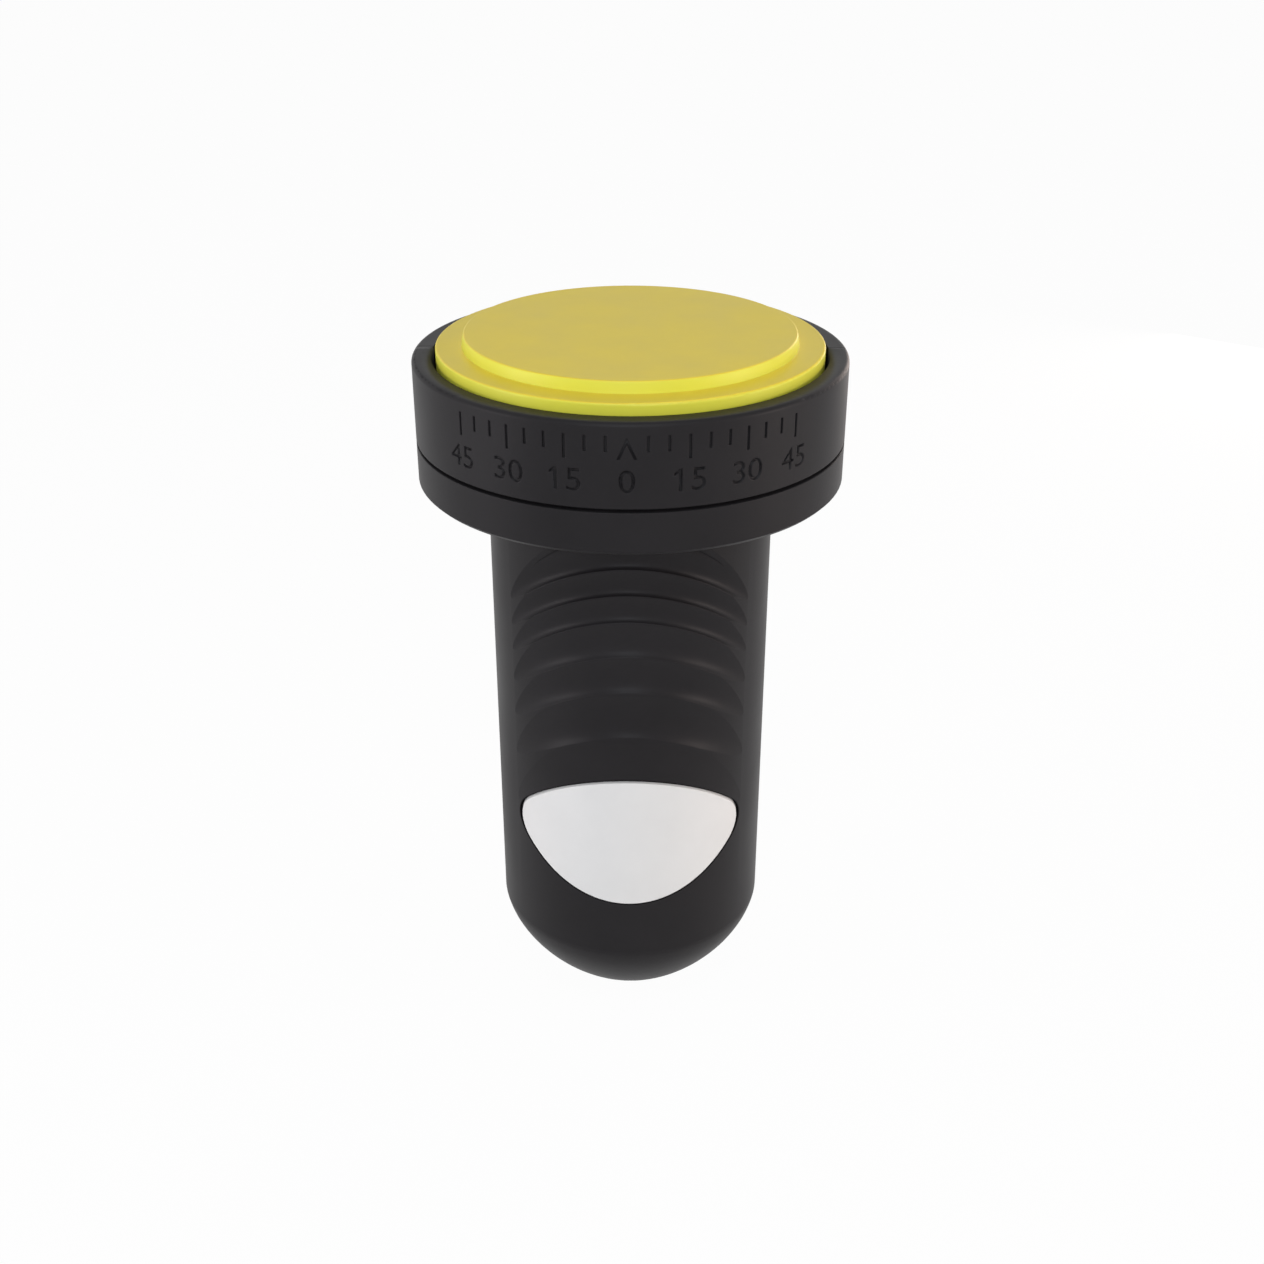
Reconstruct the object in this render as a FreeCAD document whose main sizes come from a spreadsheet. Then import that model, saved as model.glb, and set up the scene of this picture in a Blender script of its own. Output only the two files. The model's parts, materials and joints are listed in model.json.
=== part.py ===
import FreeCAD, Part
import math
import os
import re
import Sketcher

from FreeCAD import Placement, Rotation, Vector

# Inline satellite downconverter with a 40 mm neck.
# Frame: +Z runs along the feed axis towards the dish, the scale's zero and the label face -Y,
# and the origin is on the axis at the underside of the collar, where the dish clamp stops.

doc = FreeCAD.newDocument("InlineDownconverter")
sheet = doc.addObject("Spreadsheet::Sheet", "Dims")

SIZES = [
    # housing and head
    ("neck_radius", 20.0, "neck and tube, outside radius"),
    ("shell_wall", 2.4, "wall of the housing halves"),
    ("head_radius", 29.5, "collar and scale ring, outside radius"),
    ("collar_height", 6.3, "collar underside to the seat of the scale ring"),
    ("collar_edge", 0.5, "chamfer on the collar's lower edge"),
    ("seam_height", 0.55, "open seam between collar and scale ring"),
    ("seam_depth", 1.1, "how far the seam runs in"),
    ("split_plane", 1.2, "parting plane of the halves, behind the axis"),
    ("split_gap", 0.1, "hairline between the halves"),
    ("straight_length", 69.4, "collar underside to the start of the rounded end"),
    ("end_height", 17.6, "length of the rounded end"),
    ("end_power", 1.57, "exponent of the rounded end's curve, 2 is an ellipse"),
    ("tip_slope", 27.5, "slope where the rounded end's tip arc takes over, in degrees"),
    ("seat_clearance", 0.1, "play between pieces that seat in each other"),
    # scale ring
    ("ring_height", 11.0, "scale ring, seat to rim"),
    ("ring_wall", 2.6, "scale ring wall beside the cap's skirt"),
    ("ring_foot_height", 4.6, "thick foot of the scale ring round the horn"),
    ("rim_round", 0.6, "rounding of the rim's outer edge"),
    ("tongue_setback", 1.6, "locating tongue under the scale ring, outside the horn mouth"),
    ("tongue_wall", 1.2, "locating tongue, wall"),
    ("tongue_height", 1.4, "locating tongue, height"),
    # horn casting
    ("horn_wall", 1.7, "outermost wall of the horn mouth"),
    ("horn_seat", 3.4, "shelf in the collar that the horn stands on"),
    ("horn_reach", 0.15, "horn rim above the scale ring's rim"),
    ("horn_floor_thickness", 2.0, "metal under the choke grooves"),
    ("horn_throat_length", 9.0, "cone from the horn's seat down to the waveguide"),
    ("choke_wall", 1.0, "wall between two choke grooves"),
    ("choke_step", 2.6, "drop of each choke wall towards the axis"),
    ("waveguide_radius", 8.75, "round waveguide, bore radius"),
    ("waveguide_wall", 1.75, "round waveguide, wall"),
    ("waveguide_end", 46.1, "back wall of the waveguide below the collar"),
    ("casting_end", 54.1, "lower face of the casting below the collar"),
    ("tray_top", 10.0, "upper face of the board tray below the collar"),
    ("tray_end_wall", 3.0, "end walls of the board tray"),
    ("tray_wall", 1.2, "side walls of the board tray"),
    ("tray_floor", 9.4, "board seat behind the axis"),
    ("tray_depth", 2.3, "board seat to the lid's seat"),
    # feed cap
    ("cap_play", 0.65, "open ring between the cap and the scale ring"),
    ("cap_lift", 0.25, "gap from the rim to the cap flange"),
    ("cap_flange_height", 1.12, "cap flange thickness"),
    ("cap_step", 3.5, "flange edge to the foot of the raised disc"),
    ("cap_disc_height", 1.57, "raised disc above the flange"),
    ("cap_disc_draft", 0.3, "lean of the raised disc's side"),
    ("cap_disc_round", 0.25, "rounding of the raised disc"),
    ("cap_flange_round", 0.3, "rounding of the flange"),
    ("cap_wall", 1.1, "cap membrane thickness"),
    ("cap_skirt_depth", 5.4, "skirt below the flange"),
    ("cap_skirt_wall", 1.05, "skirt wall"),
    ("seal_section", 0.55, "ring seal, half its square section"),
    ("seal_drop", 2.1, "ring seal below the horn rim"),
    # thumb grip and label
    ("grip_half_width", 16.2, "thumb grip, half width"),
    ("grip_top", 1.8, "top of the grip's arch below the collar"),
    ("grip_arch", 16.0, "height of the grip's arch"),
    ("grip_radius", 23.0, "radius of the flattened grip face"),
    ("grip_depth", 1.5, "grip face below the tube at its top"),
    ("grip_length", 37.0, "length over which the grip face runs out"),
    ("ridge_tilt", 52.5, "slope of the ridges, front high and sides low, in degrees"),
    ("hollow_overrun", 0.2, "how far the hollows run out past the grip's sides"),
    ("label_top", 39.35, "label, top edge below the collar"),
    ("label_bottom", 60.3, "label, lowest point below the collar"),
    ("label_top_arc", 19.0, "label, radius of the top edge"),
    ("label_bottom_arc", 18.5, "label, radius of the lower edge"),
    ("label_corner", 5.6, "label, corner radius"),
    ("label_thickness", 0.5, "label plate thickness"),
    ("label_gap", 0.3, "open line round the label"),
    # sliding weather cover and its track
    ("track_top", 32.0, "shoulder above the track, below the collar"),
    ("track_end", 70.0, "lower end of the rails below the collar"),
    ("track_wall", 1.4, "wall of the track"),
    ("cover_wall", 1.4, "wall of the sliding cover"),
    ("cover_clearance", 0.3, "cover to housing, over the whole slide"),
    ("cover_top", 50.5, "upper edge of the closed cover below the collar"),
    ("cover_end", 71.6, "lower edge of the closed cover below the collar"),
    ("groove_front", 3.0, "rail groove, front edge behind the axis"),
    ("groove_width", 1.6, "rail groove width"),
    ("groove_depth", 0.9, "rail groove depth"),
    ("runner_play", 0.2, "cover's runner in the rail groove, each side"),
    ("runner_drop", 1.0, "cover's upper edge to the top of its runners"),
    ("runner_length", 17.2, "cover's runner length"),
    ("rail_inner", 12.5, "inner edge of the rails beside the connector"),
    ("rib_radius", 0.9, "thumb grooves on the cover"),
    ("rib_pitch", 3.0, "pitch of the thumb grooves"),
    ("rib_half_length", 8.0, "half length of the thumb grooves"),
    # bulkhead and connector
    ("bulkhead_gap", 0.2, "casting to bulkhead"),
    ("bulkhead_wall", 1.6, "bulkhead thickness"),
    ("thread_radius", 4.7625, "3/8 inch connector thread, outside radius"),
    ("thread_length", 11.7, "connector thread length"),
    ("hex_flats", 11.0, "connector hexagon across flats"),
    ("hex_height", 2.0, "connector hexagon height"),
    ("connector_bore", 3.25, "connector inside radius"),
    ("spigot_radius", 3.7, "connector spigot in the casting"),
    ("spigot_cover", 0.5, "metal between the connector spigot and the lid's seat"),
    ("spigot_length", 2.5, "connector spigot length"),
    ("port_seal_wall", 1.6, "seal round the connector, radial wall"),
    ("port_seal_height", 1.0, "seal round the connector, height"),
    ("contact_radius", 0.5, "connector centre contact"),
    # board and what is on it
    ("board_thickness", 0.8, "circuit board"),
    ("board_play", 0.2, "board to the tray's walls"),
    ("board_end", 48.1, "lower edge of the board below the collar"),
    ("lid_thickness", 0.6, "screening lid"),
    ("absorber_thickness", 0.5, "absorber pad under the lid"),
    ("absorber_half_width", 7.0, "absorber pad half width"),
    ("absorber_top", 15.0, "absorber pad, upper edge below the collar"),
    ("absorber_length", 20.0, "absorber pad length"),
    ("probe_radius", 0.6, "antenna probe wire"),
    ("probe_stub", 0.7, "probe wire standing out of the board"),
    ("probe_one_depth", 20.0, "straight probe below the collar"),
    ("probe_two_depth", 32.0, "bent probe below the collar"),
    ("probe_two_side", 4.0, "bent probe's entry beside the axis"),
    ("probe_reach", 6.2, "probe's reach into the waveguide"),
    ("sleeve_wall", 0.9, "insulating sleeve wall"),
    ("isolation_depth", 26.0, "isolation pin below the collar"),
    ("isolation_radius", 0.8, "isolation pin radius"),
    ("puck_radius", 2.5, "dielectric resonator radius"),
    ("puck_height", 1.0, "dielectric resonator height"),
    ("puck_side", 4.6, "resonators beside the axis"),
    ("puck_depth", 38.1, "resonators below the collar"),
    ("tuner_radius", 1.4, "tuning screw shank"),
    ("tuner_gap", 0.3, "tuning screw to resonator"),
    ("screw_radius", 0.75, "lid screw shank"),
    ("screw_side", 5.5, "lid screws beside the axis"),
    ("screw_depth", 3.4, "lid screw in the casting"),
    ("screw_head_height", 0.7, "lid and tuning screw heads"),
    ("collar_screw_radius", 0.8, "collar screw shank"),
    ("collar_screw_offset", 2.5, "collar screws outside the neck"),
    ("collar_screw_front", 7.0, "collar screw tip in front of the axis"),
    ("collar_screw_seat", 12.0, "collar screw head seat behind the axis"),
    ("collar_screw_head", 1.45, "collar screw head radius"),
    ("collar_screw_head_height", 1.4, "collar screw head height"),
]

# Crests of the thumb grip below the collar, from the arch to the run-out above the label,
# and the depth of the hollow between each crest and the next.
CRESTS = [3.0, 6.85, 10.65, 14.5, 19.6, 25.0, 31.8, 40.3]
HOLLOWS = [0.60, 0.60, 0.58, 0.56, 0.54, 0.48, 0.26]
SIZES += [
    (f"crest_{number}", crest, f"thumb grip, crest {number} below the collar")
    for number, crest in enumerate(CRESTS, start=1)
]
SIZES += [
    (f"hollow_{number}", depth, f"thumb grip, depth of the hollow under crest {number}")
    for number, depth in enumerate(HOLLOWS, start=1)
]

CHOKE_GROOVES = 3
COVER_RIBS = 4

for row, (alias, value, note) in enumerate(SIZES, start=1):
    sheet.set(f"A{row}", note)
    sheet.set(f"B{row}", str(value))
    sheet.setAlias(f"B{row}", alias)
doc.recompute()

ALIASES = {alias for alias, _, _ in SIZES}

# The cap stands inside the scale ring, the horn inside the cap's skirt and inside the tongue.
CAP_RADIUS = "(head_radius - ring_wall - cap_play)"
DISC_RADIUS = f"({CAP_RADIUS} - cap_step)"
HORN_RADIUS = f"({CAP_RADIUS} - cap_skirt_wall - seat_clearance)"
TONGUE_INNER = f"({HORN_RADIUS} + tongue_setback)"
COLLAR_SCREW_SIDE = "(neck_radius + collar_screw_offset)"

# The board, its lid and the connector stand in a row behind the axis.
BOARD_TOP = "(tray_floor + board_thickness)"
LID_SEAT = "(tray_floor + tray_depth)"
LID_TOP = f"({LID_SEAT} + lid_thickness)"
CONNECTOR_OFFSET = f"({LID_SEAT} - spigot_radius - spigot_cover)"

BIG = 200.0
ROTATIONS = {
    "X": Rotation(Vector(0, 1, 0), 90),
    "Y": Rotation(Vector(1, 0, 0), -90),
    "Z": Rotation(),
}
parts = {}


def formula(text):
    """An expression with each size's name pointed at the sheet."""
    return re.sub(r"[a-z]\w*", lambda m: f"Dims.{m[0]}" if m[0] in ALIASES else m[0], str(text))


def size(text):
    """A size, or an expression of sizes, as a number."""
    return float(sheet.evalExpression(formula(text)))


def bind(obj, prop, text):
    obj.setExpression(prop, formula(text))


def place(obj, base, axis="Z"):
    """Turn the object's own Z to the axis and bind its base point to the sizes."""
    obj.Placement = Placement(Vector(), ROTATIONS[axis])
    for letter, text in zip("xyz", base):
        bind(obj, f"Placement.Base.{letter}", text)


def cylinder(name, radius, length, base=(0, 0, 0), axis="Z"):
    obj = doc.addObject("Part::Cylinder", name)
    bind(obj, "Radius", radius)
    bind(obj, "Height", length)
    place(obj, base, axis)
    return obj


def box(name, low, high):
    """A box between two corners, each a triple of expressions."""
    obj = doc.addObject("Part::Box", name)
    for prop, start, end in zip(("Length", "Width", "Height"), low, high):
        bind(obj, prop, f"({end}) - ({start})")
    place(obj, low)
    return obj


def cut(name, base, *tools):
    obj = doc.addObject("Part::Cut", name)
    obj.Base = base
    obj.Tool = tools[0] if len(tools) == 1 else fuse(f"{name}_tools", *tools)
    return obj


def fuse(name, *shapes):
    obj = doc.addObject("Part::MultiFuse", name)
    obj.Shapes = list(shapes)
    return obj


def common(name, first, second):
    obj = doc.addObject("Part::Common", name)
    obj.Base = first
    obj.Tool = second
    return obj


def group(name, *solids):
    """Several separate solids that are one sub-part."""
    obj = doc.addObject("Part::Compound", name)
    obj.Links = list(solids)
    return obj


def keep(label, obj):
    """Name a finished sub-part."""
    obj.Label = label
    parts[label] = obj
    return obj


def origin_plane(body, role):
    return next(f for f in body.Origin.OriginFeatures if f.Role == role)


def outline_sketch(body, role, points):
    """A closed outline on an origin plane, each corner bound by its two distances."""
    sketch = body.newObject("Sketcher::SketchObject", f"{body.Name}_outline")
    sketch.AttachmentSupport = (origin_plane(body, role), "")
    sketch.MapMode = "FlatFace"
    count = len(points)
    reach = size("neck_radius")
    turns = [2 * math.pi * i / count for i in range(count)]
    starts = [Vector(reach * math.cos(turn), reach * math.sin(turn), 0) for turn in turns]
    for i in range(count):
        sketch.addGeometry(Part.LineSegment(starts[i], starts[(i + 1) % count]))
    for i in range(count):
        sketch.addConstraint(Sketcher.Constraint("Coincident", i, 2, (i + 1) % count, 1))
    for i, (across, up) in enumerate(points):
        for kind, text in (("DistanceX", across), ("DistanceY", up)):
            index = sketch.addConstraint(Sketcher.Constraint(kind, -1, 1, i, 1, 1.0))
            sketch.setExpression(f"Constraints[{index}]", formula(text))
    return sketch


def revolved(name, role, points):
    """A body turned round Z from its outline of (radius, height) expressions."""
    body = doc.addObject("PartDesign::Body", name)
    sketch = outline_sketch(body, role, points)
    turn = body.newObject("PartDesign::Revolution", f"{name}_turn")
    turn.Profile = sketch
    turn.ReferenceAxis = (sketch, ["V_Axis"])
    turn.Angle = 360
    doc.recompute()
    return body


def padded(name, role, points, length):
    """A body padded from its outline."""
    body = doc.addObject("PartDesign::Body", name)
    sketch = outline_sketch(body, role, points)
    pad = body.newObject("PartDesign::Pad", f"{name}_pad")
    pad.Profile = sketch
    bind(pad, "Length", length)
    doc.recompute()
    return body


def round_edges(body, radius_alias, rim_radius, rim_height):
    """Round the circular edge of a turned body at the given radius and height."""
    feature = body.Tip
    rim = Vector(size(rim_radius), 0, size(rim_height))
    names = [
        f"Edge{number}"
        for number, edge in enumerate(feature.Shape.Edges, start=1)
        if edge.Curve.TypeId == "Part::GeomCircle"
        and Vector(edge.Curve.Radius, 0, edge.Curve.Center.z).distanceToPoint(rim) < 1e-4
    ]
    fillet = body.newObject("PartDesign::Fillet", f"{body.Name}_{radius_alias}")
    fillet.Base = (feature, names)
    bind(fillet, "Radius", radius_alias)
    doc.recompute()
    return body


def half(name, obj, side, offset="split_gap / 2"):
    """The front or rear half of a shape, cut at the parting plane."""
    if side == "front":
        low = (-BIG, -BIG, -BIG)
        high = (BIG, f"split_plane - ({offset})", BIG)
    else:
        low = (-BIG, f"split_plane + ({offset})", -BIG)
        high = (BIG, BIG, BIG)
    return common(name, obj, box(f"{name}_side", low, high))


def end_profile(radius, height, start):
    """The rounded end's profile, from the tube's wall at depth start to the tip on the axis.

    A superellipse down to where it slopes by tip_slope, then an arc that closes it on the axis.
    """
    power = 2 / size("end_power")
    slope = math.radians(size("tip_slope"))
    last = math.atan((height / radius / math.tan(slope)) ** (1 / (2 - power)))
    steps = 10
    points = []
    for i in range(steps + 1):
        angle = last * i / steps
        out = radius * math.cos(angle) ** power
        down = start + height * math.sin(angle) ** power
        points.append(Vector(out, 0, -down))
    curve = Part.BSplineCurve()
    curve.interpolate(
        Points=points,
        InitialTangent=Vector(0, 0, -1),
        FinalTangent=Vector(-math.cos(slope), 0, -math.sin(slope)),
    )
    join = points[-1]
    tip_radius = join.x / math.sin(slope)
    centre = join.z + tip_radius * math.cos(slope)
    middle = Vector(tip_radius * math.sin(slope / 2), 0, centre - tip_radius * math.cos(slope / 2))
    tip = Vector(0, 0, centre - tip_radius)
    return [curve.toShape(), Part.Arc(join, middle, tip).toShape()], tip.z


def turned_face(name, edges):
    """A closed (x, z) section as a face, turned a full circle round Z."""
    section = doc.addObject("Part::Feature", f"{name}_section")
    section.Shape = Part.Face(Part.Wire(edges))
    turn = doc.addObject("Part::Revolution", name)
    turn.Source = section
    turn.Axis = Vector(0, 0, 1)
    turn.Base = Vector()
    turn.Angle = 360
    turn.Solid = True
    return turn


def polyline(points):
    """Edges through (x, z) points."""
    corners = [Vector(x, 0, z) for x, z in points]
    return [Part.LineSegment(a, b).toShape() for a, b in zip(corners, corners[1:])]


def rounded_bar(name, radius, height, top):
    """A solid bar from the level top down to its rounded end."""
    outside, tip = end_profile(radius, height, size("straight_length"))
    edges = outside + polyline([(0, tip), (0, top), (radius, top), (radius, -size("straight_length"))])
    return turned_face(name, Part.sortEdges(edges)[0])


def collar(name):
    """The collar ring: horn shelf and socket, groove for the scale ring's tongue, and seam step."""
    edge = "collar_edge"
    return revolved(name, "XZ_Plane", [
        ("neck_radius - shell_wall", 0),
        (f"head_radius - {edge}", 0),
        ("head_radius", edge),
        ("head_radius", "collar_height - seam_height"),
        ("head_radius - seam_depth", "collar_height - seam_height"),
        ("head_radius - seam_depth", "collar_height"),
        (f"{TONGUE_INNER} + tongue_wall + seat_clearance", "collar_height"),
        (f"{TONGUE_INNER} + tongue_wall + seat_clearance", "collar_height - tongue_height - seat_clearance"),
        (f"{TONGUE_INNER} - seat_clearance", "collar_height - tongue_height - seat_clearance"),
        (f"{TONGUE_INNER} - seat_clearance", "collar_height"),
        (f"{HORN_RADIUS} + seat_clearance", "collar_height"),
        (f"{HORN_RADIUS} + seat_clearance", "horn_seat"),
        ("neck_radius - shell_wall", "horn_seat"),
    ])


def collar_screw_holes(name, side):
    """Clearance for one collar screw on each side, with the head's pocket from behind."""
    tools = []
    for letter, sign in (("a", -1), ("b", 1)):
        across = f"{sign} * {COLLAR_SCREW_SIDE}"
        base = (across, "-collar_screw_front - seat_clearance", "horn_seat / 2")
        tools.append(cylinder(f"{name}_shank_{letter}", "collar_screw_radius + seat_clearance",
                              "collar_screw_front + collar_screw_seat + 2 * seat_clearance", base, "Y"))
        if side == "rear":
            base = (across, "collar_screw_seat", "horn_seat / 2")
            tools.append(cylinder(f"{name}_head_{letter}", "collar_screw_head + seat_clearance",
                                  "head_radius", base, "Y"))
    return tools


BULKHEAD_TOP = "casting_end + bulkhead_gap"
BULKHEAD_END = "casting_end + bulkhead_gap + bulkhead_wall"


def label_prism(name, grow):
    """The label's outline, two arcs with rounded corners, as a bar along Y."""
    upper = cylinder(f"{name}_upper", f"label_top_arc + {grow}", "2 * neck_radius",
                     (0, "-2 * neck_radius", "-label_top - label_top_arc"), "Y")
    lower = cylinder(f"{name}_lower", f"label_bottom_arc + {grow}", "2 * neck_radius",
                     (0, "-2 * neck_radius", "-label_bottom + label_bottom_arc"), "Y")
    lens = common(f"{name}_lens", upper, lower)
    doc.recompute()
    rounded = doc.addObject("Part::Fillet", f"{name}_rounded")
    rounded.Base = lens
    radius = size("label_corner")
    rounded.Edges = [
        (number, radius, radius)
        for number, edge in enumerate(lens.Shape.Edges, start=1)
        if edge.Curve.TypeId == "Part::GeomLine" and abs(edge.BoundBox.XLength) < 1e-6
        and edge.BoundBox.YLength > 1
    ]
    return rounded


def grip_prism(name):
    """The thumb grip's outline, straight sides under an elliptic arch, as a bar along Y."""
    half_width = size("grip_half_width")
    arch = size("grip_arch")
    spring = -size("grip_top") - arch
    foot = spring - size("grip_length")
    left, right = Vector(-half_width, 0, spring), Vector(half_width, 0, spring)
    ellipse = Part.Ellipse(right, Vector(0, 0, spring + arch), Vector(0, 0, spring))
    crown = Part.ArcOfEllipse(ellipse, 0, math.pi)
    if crown.value(math.pi / 2).z < spring:
        crown = Part.ArcOfEllipse(ellipse, math.pi, 2 * math.pi)
    sides = polyline([(left.x, spring), (left.x, foot), (right.x, foot), (right.x, spring)])
    face = Part.Face(Part.Wire(Part.sortEdges([crown.toShape(), *sides])[0]))
    prism = doc.addObject("Part::Feature", name)
    prism.Shape = face.extrude(Vector(0, -2 * size("neck_radius"), 0))
    return prism


def thumb_hollow(name, number):
    """One hollow of the grip: a ring that dips from the grip's sides to the thumb's centre line.

    Its section is a circle over the height between two crests. The ring is then sheared down towards
    the back, so that its crests slope from high at the front to low at the sides.
    """
    upper, lower = size(f"crest_{number}"), size(f"crest_{number + 1}")
    depth = size(f"hollow_{number}")
    middle, chord = (upper + lower) / 2, lower - upper
    section = (chord ** 2 / 4 + depth ** 2) / (2 * depth)
    fade = max(0.0, 1 - (middle - size("grip_top")) / size("grip_length"))
    front = size("neck_radius") - size("grip_depth") * fade - depth
    side = size("grip_half_width") + size("hollow_overrun")
    rise = front - math.sqrt(size("neck_radius") ** 2 - side ** 2)
    sweep = (side ** 2 + rise ** 2) / (2 * rise)
    ring = Part.makeTorus(sweep + section, section, Vector(0, sweep - front, -middle))
    slope = math.tan(math.radians(size("ridge_tilt")))
    shear = FreeCAD.Matrix()
    shear.A32 = -slope
    shear.A34 = -slope * (front + depth)
    hollow = doc.addObject("Part::Feature", name)
    hollow.Shape = ring.transformGeometry(shear)
    return hollow


def grip_face(name, prism):
    """What the grip takes out of the tube before its hollows: a flattened face that leans outwards."""
    face = doc.addObject("Part::Cylinder", f"{name}_cylinder")
    bind(face, "Radius", "grip_radius")
    bind(face, "Height", 2 * BIG)
    lean = Rotation(Vector(1, 0, 0), -math.degrees(math.atan2(size("grip_depth"), size("grip_length"))))
    top_front = Vector(0, size("grip_depth") - size("neck_radius"), -size("grip_top"))
    back = lean.multVec(Vector(0, size("grip_radius"), -BIG))
    face.Placement = Placement(top_front + back, lean)
    return cut(name, prism, face)


# ---- housing: two halves that part just behind the axis ----

front_tube = fuse(
    "front_tube_form",
    cut("front_tube",
        rounded_bar("front_tube_outside", size("neck_radius"), size("end_height"), size("horn_seat")),
        rounded_bar("front_tube_inside", size("neck_radius") - size("shell_wall"),
                    size("end_height") - size("shell_wall"), size("head_radius"))),
    cylinder("front_bulkhead", "neck_radius - shell_wall / 2", "bulkhead_wall", (0, 0, f"-({BULKHEAD_END})")),
)
label_pocket = cut(
    "label_pocket",
    label_prism("label_room", "label_gap"),
    cylinder("label_pocket_floor", "neck_radius - label_thickness", 2 * BIG, (0, 0, -BIG)),
)
gripped_tube = cut("gripped_tube", half("front_tube_half", front_tube, "front"),
                   grip_face("grip_face", grip_prism("grip_outline")), label_pocket)
for number in range(1, len(HOLLOWS) + 1):
    gripped_tube = cut(f"gripped_tube_{number}", gripped_tube, thumb_hollow(f"hollow_{number}", number))
front_collar = cut("front_collar_drilled", half("front_collar_half", collar("front_collar"), "front"),
                   *collar_screw_holes("front_screw", "front"))
keep("front_shell", fuse("front_shell_solid", gripped_tube, front_collar))

TRACK_RADIUS = "(neck_radius - cover_wall - cover_clearance)"
rear_tube = revolved("rear_tube", "XZ_Plane", [
    ("neck_radius - shell_wall", "horn_seat"),
    ("neck_radius", "horn_seat"),
    ("neck_radius", "-track_top"),
    (TRACK_RADIUS, "-track_top"),
    (TRACK_RADIUS, "-track_end"),
    (f"{TRACK_RADIUS} - track_wall", "-track_end"),
    (f"{TRACK_RADIUS} - track_wall", "-track_top - shell_wall"),
    ("neck_radius - shell_wall", "-track_top - shell_wall"),
])
rear_bulkhead = cylinder("rear_bulkhead", f"{TRACK_RADIUS} - track_wall / 2", "bulkhead_wall",
                         (0, 0, f"-({BULKHEAD_END})"))
connector_way = cylinder("connector_way", "thread_radius + cover_clearance", BIG,
                         (0, CONNECTOR_OFFSET, -BIG))
between_rails = box("between_rails", ("-rail_inner", 0, "-track_end - 1"),
                    ("rail_inner", "neck_radius", f"-({BULKHEAD_END})"))
rail_grooves = [
    box(f"rail_groove_{letter}",
        (low, "groove_front", "-track_end + seat_clearance + 1"),
        (high, "groove_front + groove_width", "-track_top - seat_clearance - 1"))
    for letter, low, high in (
        ("a", "-neck_radius", f"-({TRACK_RADIUS} - groove_depth)"),
        ("b", f"{TRACK_RADIUS} - groove_depth", "neck_radius"),
    )
]
rear_form = fuse("rear_form", collar("rear_collar"), rear_tube, rear_bulkhead)
keep("rear_shell", cut(
    "rear_shell_solid",
    half("rear_half", rear_form, "rear"),
    connector_way, between_rails, *rail_grooves, *collar_screw_holes("rear_screw", "rear"),
))

collar_screws = []
for letter, sign in (("a", -1), ("b", 1)):
    across = f"{sign} * {COLLAR_SCREW_SIDE}"
    collar_screws.append(fuse(
        f"collar_screw_{letter}",
        cylinder(f"collar_screw_shank_{letter}", "collar_screw_radius",
                 "collar_screw_front + collar_screw_seat",
                 (across, "-collar_screw_front", "horn_seat / 2"), "Y"),
        cylinder(f"collar_screw_head_{letter}", "collar_screw_head", "collar_screw_head_height",
                 (across, "collar_screw_seat", "horn_seat / 2"), "Y"),
    ))
keep("collar_screws", group("collar_screw_pair", *collar_screws))

# ---- scale ring: two half rings that stand on the collar round the horn ----

RIM = "(collar_height + ring_height)"
ring_form = revolved("ring_form", "XZ_Plane", [
    (f"{HORN_RADIUS} + seat_clearance", "collar_height"),
    (TONGUE_INNER, "collar_height"),
    (TONGUE_INNER, "collar_height - tongue_height"),
    (f"{TONGUE_INNER} + tongue_wall", "collar_height - tongue_height"),
    (f"{TONGUE_INNER} + tongue_wall", "collar_height"),
    ("head_radius", "collar_height"),
    ("head_radius", RIM),
    ("head_radius - ring_wall", RIM),
    ("head_radius - ring_wall", "collar_height + ring_foot_height"),
    (f"{HORN_RADIUS} + seat_clearance", "collar_height + ring_foot_height"),
])
round_edges(ring_form, "rim_round", "head_radius", RIM)
keep("scale_ring_front", half("ring_front_half", ring_form, "front"))
keep("scale_ring_rear", half("ring_rear_half", ring_form, "rear"))

# ---- horn casting: choke grooves round the waveguide, and the board tray behind it ----

HORN_TOP = f"({RIM} + horn_reach)"
GUIDE_OUTER = "(waveguide_radius + waveguide_wall)"
CHOKE_PITCH = f"(({HORN_RADIUS} - horn_wall - {GUIDE_OUTER} + choke_wall) / {CHOKE_GROOVES})"
GROOVE_FLOOR = "(horn_seat + horn_floor_thickness)"
horn_outline = [
    (0, "-casting_end"),
    (0, f"{HORN_TOP} - {CHOKE_GROOVES} * choke_step"),
    (GUIDE_OUTER, f"{HORN_TOP} - {CHOKE_GROOVES} * choke_step"),
]
for groove in range(CHOKE_GROOVES):
    start = f"{GUIDE_OUTER} + {groove} * {CHOKE_PITCH}"
    end = f"{GUIDE_OUTER} + {groove + 1} * {CHOKE_PITCH} - choke_wall"
    wall_top = f"{HORN_TOP} - {CHOKE_GROOVES - 1 - groove} * choke_step"
    horn_outline += [(start, GROOVE_FLOOR), (end, GROOVE_FLOOR), (end, wall_top)]
    if groove < CHOKE_GROOVES - 1:
        horn_outline.append((f"{end} + choke_wall", wall_top))
SEAL_TOP = f"({HORN_TOP} - seal_drop)"
horn_outline += [
    (HORN_RADIUS, HORN_TOP),
    (HORN_RADIUS, SEAL_TOP),
    (f"{HORN_RADIUS} - 2 * seal_section", SEAL_TOP),
    (f"{HORN_RADIUS} - 2 * seal_section", f"{SEAL_TOP} - 2 * seal_section"),
    (HORN_RADIUS, f"{SEAL_TOP} - 2 * seal_section"),
    (HORN_RADIUS, "horn_seat"),
    ("neck_radius - shell_wall - seat_clearance", "horn_seat"),
    (GUIDE_OUTER, "horn_seat - horn_throat_length"),
    (GUIDE_OUTER, "-casting_end"),
]
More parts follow.
